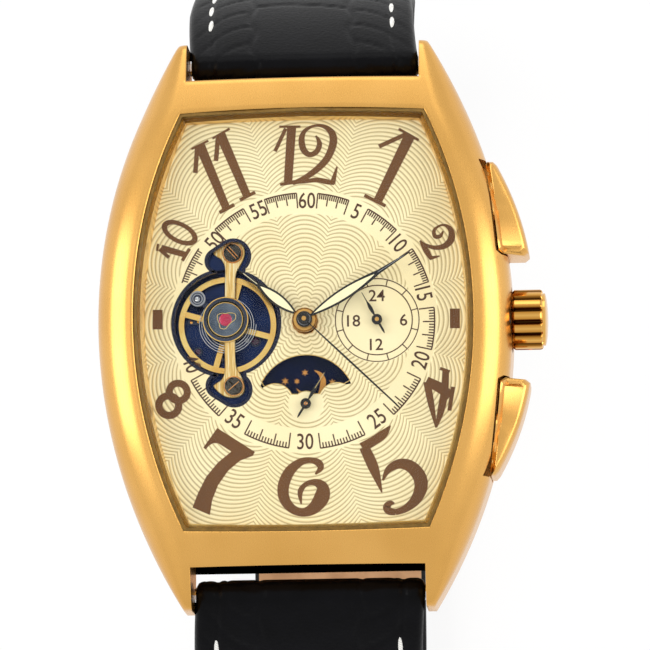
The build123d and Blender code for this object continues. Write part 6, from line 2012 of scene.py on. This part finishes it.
ruby = lacquer("ruby", (0.42, 0.004, 0.05), 0.08, 0.3, 0.0, 0.001, 0.6)
plum = lacquer("dark_jewel", (0.05, 0.008, 0.05), 0.1, 0.2, 0.0, 0.001, 0.6)
blue_plate = plate_material()
rotor_stripes = striped_material("rotor_stripes", linear(160, 162, 168), linear(214, 216, 222))
bridge_stripes = striped_material("bridge_stripes", linear(132, 134, 142), linear(190, 192, 200))
flange_gold = metal("flange_gold", linear(226, 180, 96), linear(246, 212, 138), (0.2, 0.3), (2.0, 2.0, 2.0),
                    0.0006)
back_gold = ring_brushed("back_gold", linear(222, 166, 78), linear(236, 184, 96), (0.2, 0.3), 0.2)
build_bridge()
build_heart()
build_floor_details()


def dress(material, *names):
    """Gives carried-over solids their finish."""
    for name in names:
        solid = nodes[name]
        solid.data.materials.clear()
        solid.data.materials.append(material)


dress(champagne, "dial")
dress(flange_gold, "inner_flange")
dress(seal_rubber, "crystal_gasket", "crown_gasket")
dress(night, "moon_disc")
dress(blue_plate, "main_plate")
dress(dark_steel, "movement_holder")
dress(bridge_stripes, "train_bridge")
dress(rotor_stripes, "rotor")
dress(brass, "mainspring_barrel", "intermediate_wheel", "centre_wheel", "third_wheel", "fourth_wheel")
dress(brass, "hour_wheel", "day_idler", "day_wheel")
dress(wheel_gold, "balance_wheel")
dress(polished_steel, "rotor_bearing", "spring_bars", "buckle_bar", "case_back_screws")
dress(steel, "escape_wheel", "pallet_fork", "cannon_pinion", "small_arbor")
dress(steel, "winding_stem", "crown_tube", "winding_pinion")
dress(back_gold, "case_back")
dress(bright_gold, "buckle_frame", "buckle_tongue")
dress(leather, "fixed_keeper", "loose_keeper")


# Stitches along both edges of the strap, spread by geometry nodes

STITCH_PITCH = 3.4
STITCH_SIZE = (2.5, 0.5, 0.42)
STITCH_EDGE = 2.15
STITCH_SINK = 0.25


def build_stitches(name, line, travelled, first, last):
    """Two rows of slightly slanting stitches in the grooves along the strap's edges."""
    table = np.array(line)
    places, turns, sizes = [], [], []
    count = int((last - first) / STITCH_PITCH)
    for k in range(count + 1):
        s = first + (last - first) * k / count
        y, z, ny, nz, half = (np.interp(s, travelled, table[:, i]) for i in range(5))
        normal = Vector((0.0, ny, nz)).normalized()
        out = half - STITCH_SINK
        for side in (1, -1):
            along = Vector((side * 0.02, -nz, ny)).normalized()
            across = normal.cross(along)
            matrix = Matrix((along, across, normal)).transposed()
            x = side * (strap_half_width(z) - STITCH_EDGE) + strap_lean(z)
            places.append((x, y + ny * out, z + nz * out))
            turns.append(tuple(matrix.to_euler("XYZ")))
            sizes.append(STITCH_SIZE)
    repeat_shape(name, beads, places, turns, sizes, thread, "case")


build_stitches("stitches_upper", upper_line, upper_run, 6.0, upper_run[-1] - 6.0)
build_stitches("stitches_lower", lower_line, lower_run, 5.4, lower_run[-1] - 7.0)


# Stage, lights and camera

STAGE_HALF = 1.5
STAGE_LEVEL = -0.05065


def build_stage():
    """A pale floor under the strap, which keeps the watch's soft shadow."""
    material, tree, shader = blank_material("pale_floor")
    shader.inputs["Base Color"].default_value = (0.86, 0.86, 0.86, 1.0)
    shader.inputs["Roughness"].default_value = 0.9
    glow = tree.nodes.new("ShaderNodeEmission")
    path = tree.nodes.new("ShaderNodeLightPath")
    seen = calc(tree, "MAXIMUM", path.outputs["Is Camera Ray"], path.outputs["Is Glossy Ray"])
    seen = calc(tree, "MAXIMUM", seen, path.outputs["Is Transmission Ray"])
    mix = tree.nodes.new("ShaderNodeMixShader")
    output = next(n for n in tree.nodes if n.type == "OUTPUT_MATERIAL")
    tree.links.new(calc(tree, "MULTIPLY", seen, 0.85), mix.inputs["Fac"])
    tree.links.new(shader.outputs[0], mix.inputs[1])
    tree.links.new(glow.outputs[0], mix.inputs[2])
    tree.links.new(mix.outputs[0], output.inputs["Surface"])
    mesh = bpy.data.meshes.new("floor")
    corners = [(x * STAGE_HALF, y * STAGE_HALF, STAGE_LEVEL) for x, y in ((-1, -1), (1, -1), (1, 1), (-1, 1))]
    mesh.from_pydata(corners, [], [(0, 1, 2, 3)])
    mesh.materials.append(material)
    floor = new_object("floor", mesh)


def add_lamp(name, place, size, power):
    """A soft rectangular lamp aimed at the watch."""
    data = bpy.data.lights.new(name, "AREA")
    data.shape = "RECTANGLE"
    data.size, data.size_y = size
    data.energy = power
    lamp = bpy.data.objects.new(name, data)
    bpy.context.collection.objects.link(lamp)
    lamp.location = place
    lamp.rotation_euler = (-Vector(place)).to_track_quat("-Z", "Y").to_euler()


def build_light():
    """A plain white studio, and soft lamps to the left, the right and beyond 12 o'clock."""
    world = bpy.data.worlds.new("studio")
    bpy.context.scene.world = world
    world.use_nodes = True
    tree = world.node_tree
    tree.nodes.clear()
    soft = tree.nodes.new("ShaderNodeBackground")
    soft.inputs["Color"].default_value = (1.0, 1.0, 1.0, 1.0)
    soft.inputs["Strength"].default_value = 0.9
    white = tree.nodes.new("ShaderNodeBackground")
    white.inputs["Strength"].default_value = 1.0
    path = tree.nodes.new("ShaderNodeLightPath")
    mix = tree.nodes.new("ShaderNodeMixShader")
    output = tree.nodes.new("ShaderNodeOutputWorld")
    tree.links.new(path.outputs["Is Camera Ray"], mix.inputs["Fac"])
    tree.links.new(soft.outputs[0], mix.inputs[1])
    tree.links.new(white.outputs[0], mix.inputs[2])
    tree.links.new(mix.outputs[0], output.inputs["Surface"])
    add_lamp("left_softbox", (-0.5, 0.05, 0.34), (0.4, 0.5), 1.9)
    add_lamp("right_softbox", (0.52, 0.06, 0.3), (0.36, 0.5), 1.7)
    add_lamp("top_softbox", (0.0, 0.68, 0.32), (0.7, 0.4), 1.1)


# Camera: its lean towards the crown and 6 o'clock, its roll, its distance from a point above the wrist,
# how far it is slid across and up, and its lens in pixels of the picture's width
CAMERA_LEAN_X = math.radians(3.26)
CAMERA_LEAN_Y = math.radians(8.47)
CAMERA_ROLL = math.radians(-0.66)
CAMERA_DISTANCE = 600.0
CAMERA_AIM_Z = 8.0
CAMERA_SLIDE = (-1.90, 0.36)
LENS_PIXELS = 6304.5
PICTURE_PIXELS = 650.0
SENSOR = 36.0


def build_camera():
    """Camera above the dial, a little towards 6 o'clock and the crown."""
    toward = np.array([math.sin(CAMERA_LEAN_X), -math.sin(CAMERA_LEAN_Y), 0.0])
    toward[2] = math.sqrt(1 - toward[0] ** 2 - toward[1] ** 2)
    right = np.cross([0.0, 1.0, 0.0], toward)
    right /= np.linalg.norm(right)
    up = np.cross(toward, right)
    turned_right = math.cos(CAMERA_ROLL) * right + math.sin(CAMERA_ROLL) * up
    turned_up = -math.sin(CAMERA_ROLL) * right + math.cos(CAMERA_ROLL) * up
    place = toward * CAMERA_DISTANCE + np.array([0.0, 0.0, CAMERA_AIM_Z])
    place = place - CAMERA_SLIDE[0] * turned_right - CAMERA_SLIDE[1] * turned_up
    data = bpy.data.cameras.new("camera")
    data.sensor_fit = "HORIZONTAL"
    data.sensor_width = SENSOR
    data.lens = LENS_PIXELS / PICTURE_PIXELS * SENSOR
    data.clip_start = 0.01
    data.clip_end = 20.0
    camera = bpy.data.objects.new("camera", data)
    bpy.context.collection.objects.link(camera)
    matrix = Matrix.Identity(4)
    for row in range(3):
        matrix[row][0], matrix[row][1], matrix[row][2] = turned_right[row], turned_up[row], toward[row]
        matrix[row][3] = place[row] * MM
    camera.matrix_world = matrix
    bpy.context.scene.camera = camera


build_stage()
build_light()
build_camera()
bpy.context.scene.view_settings.view_transform = "Standard"
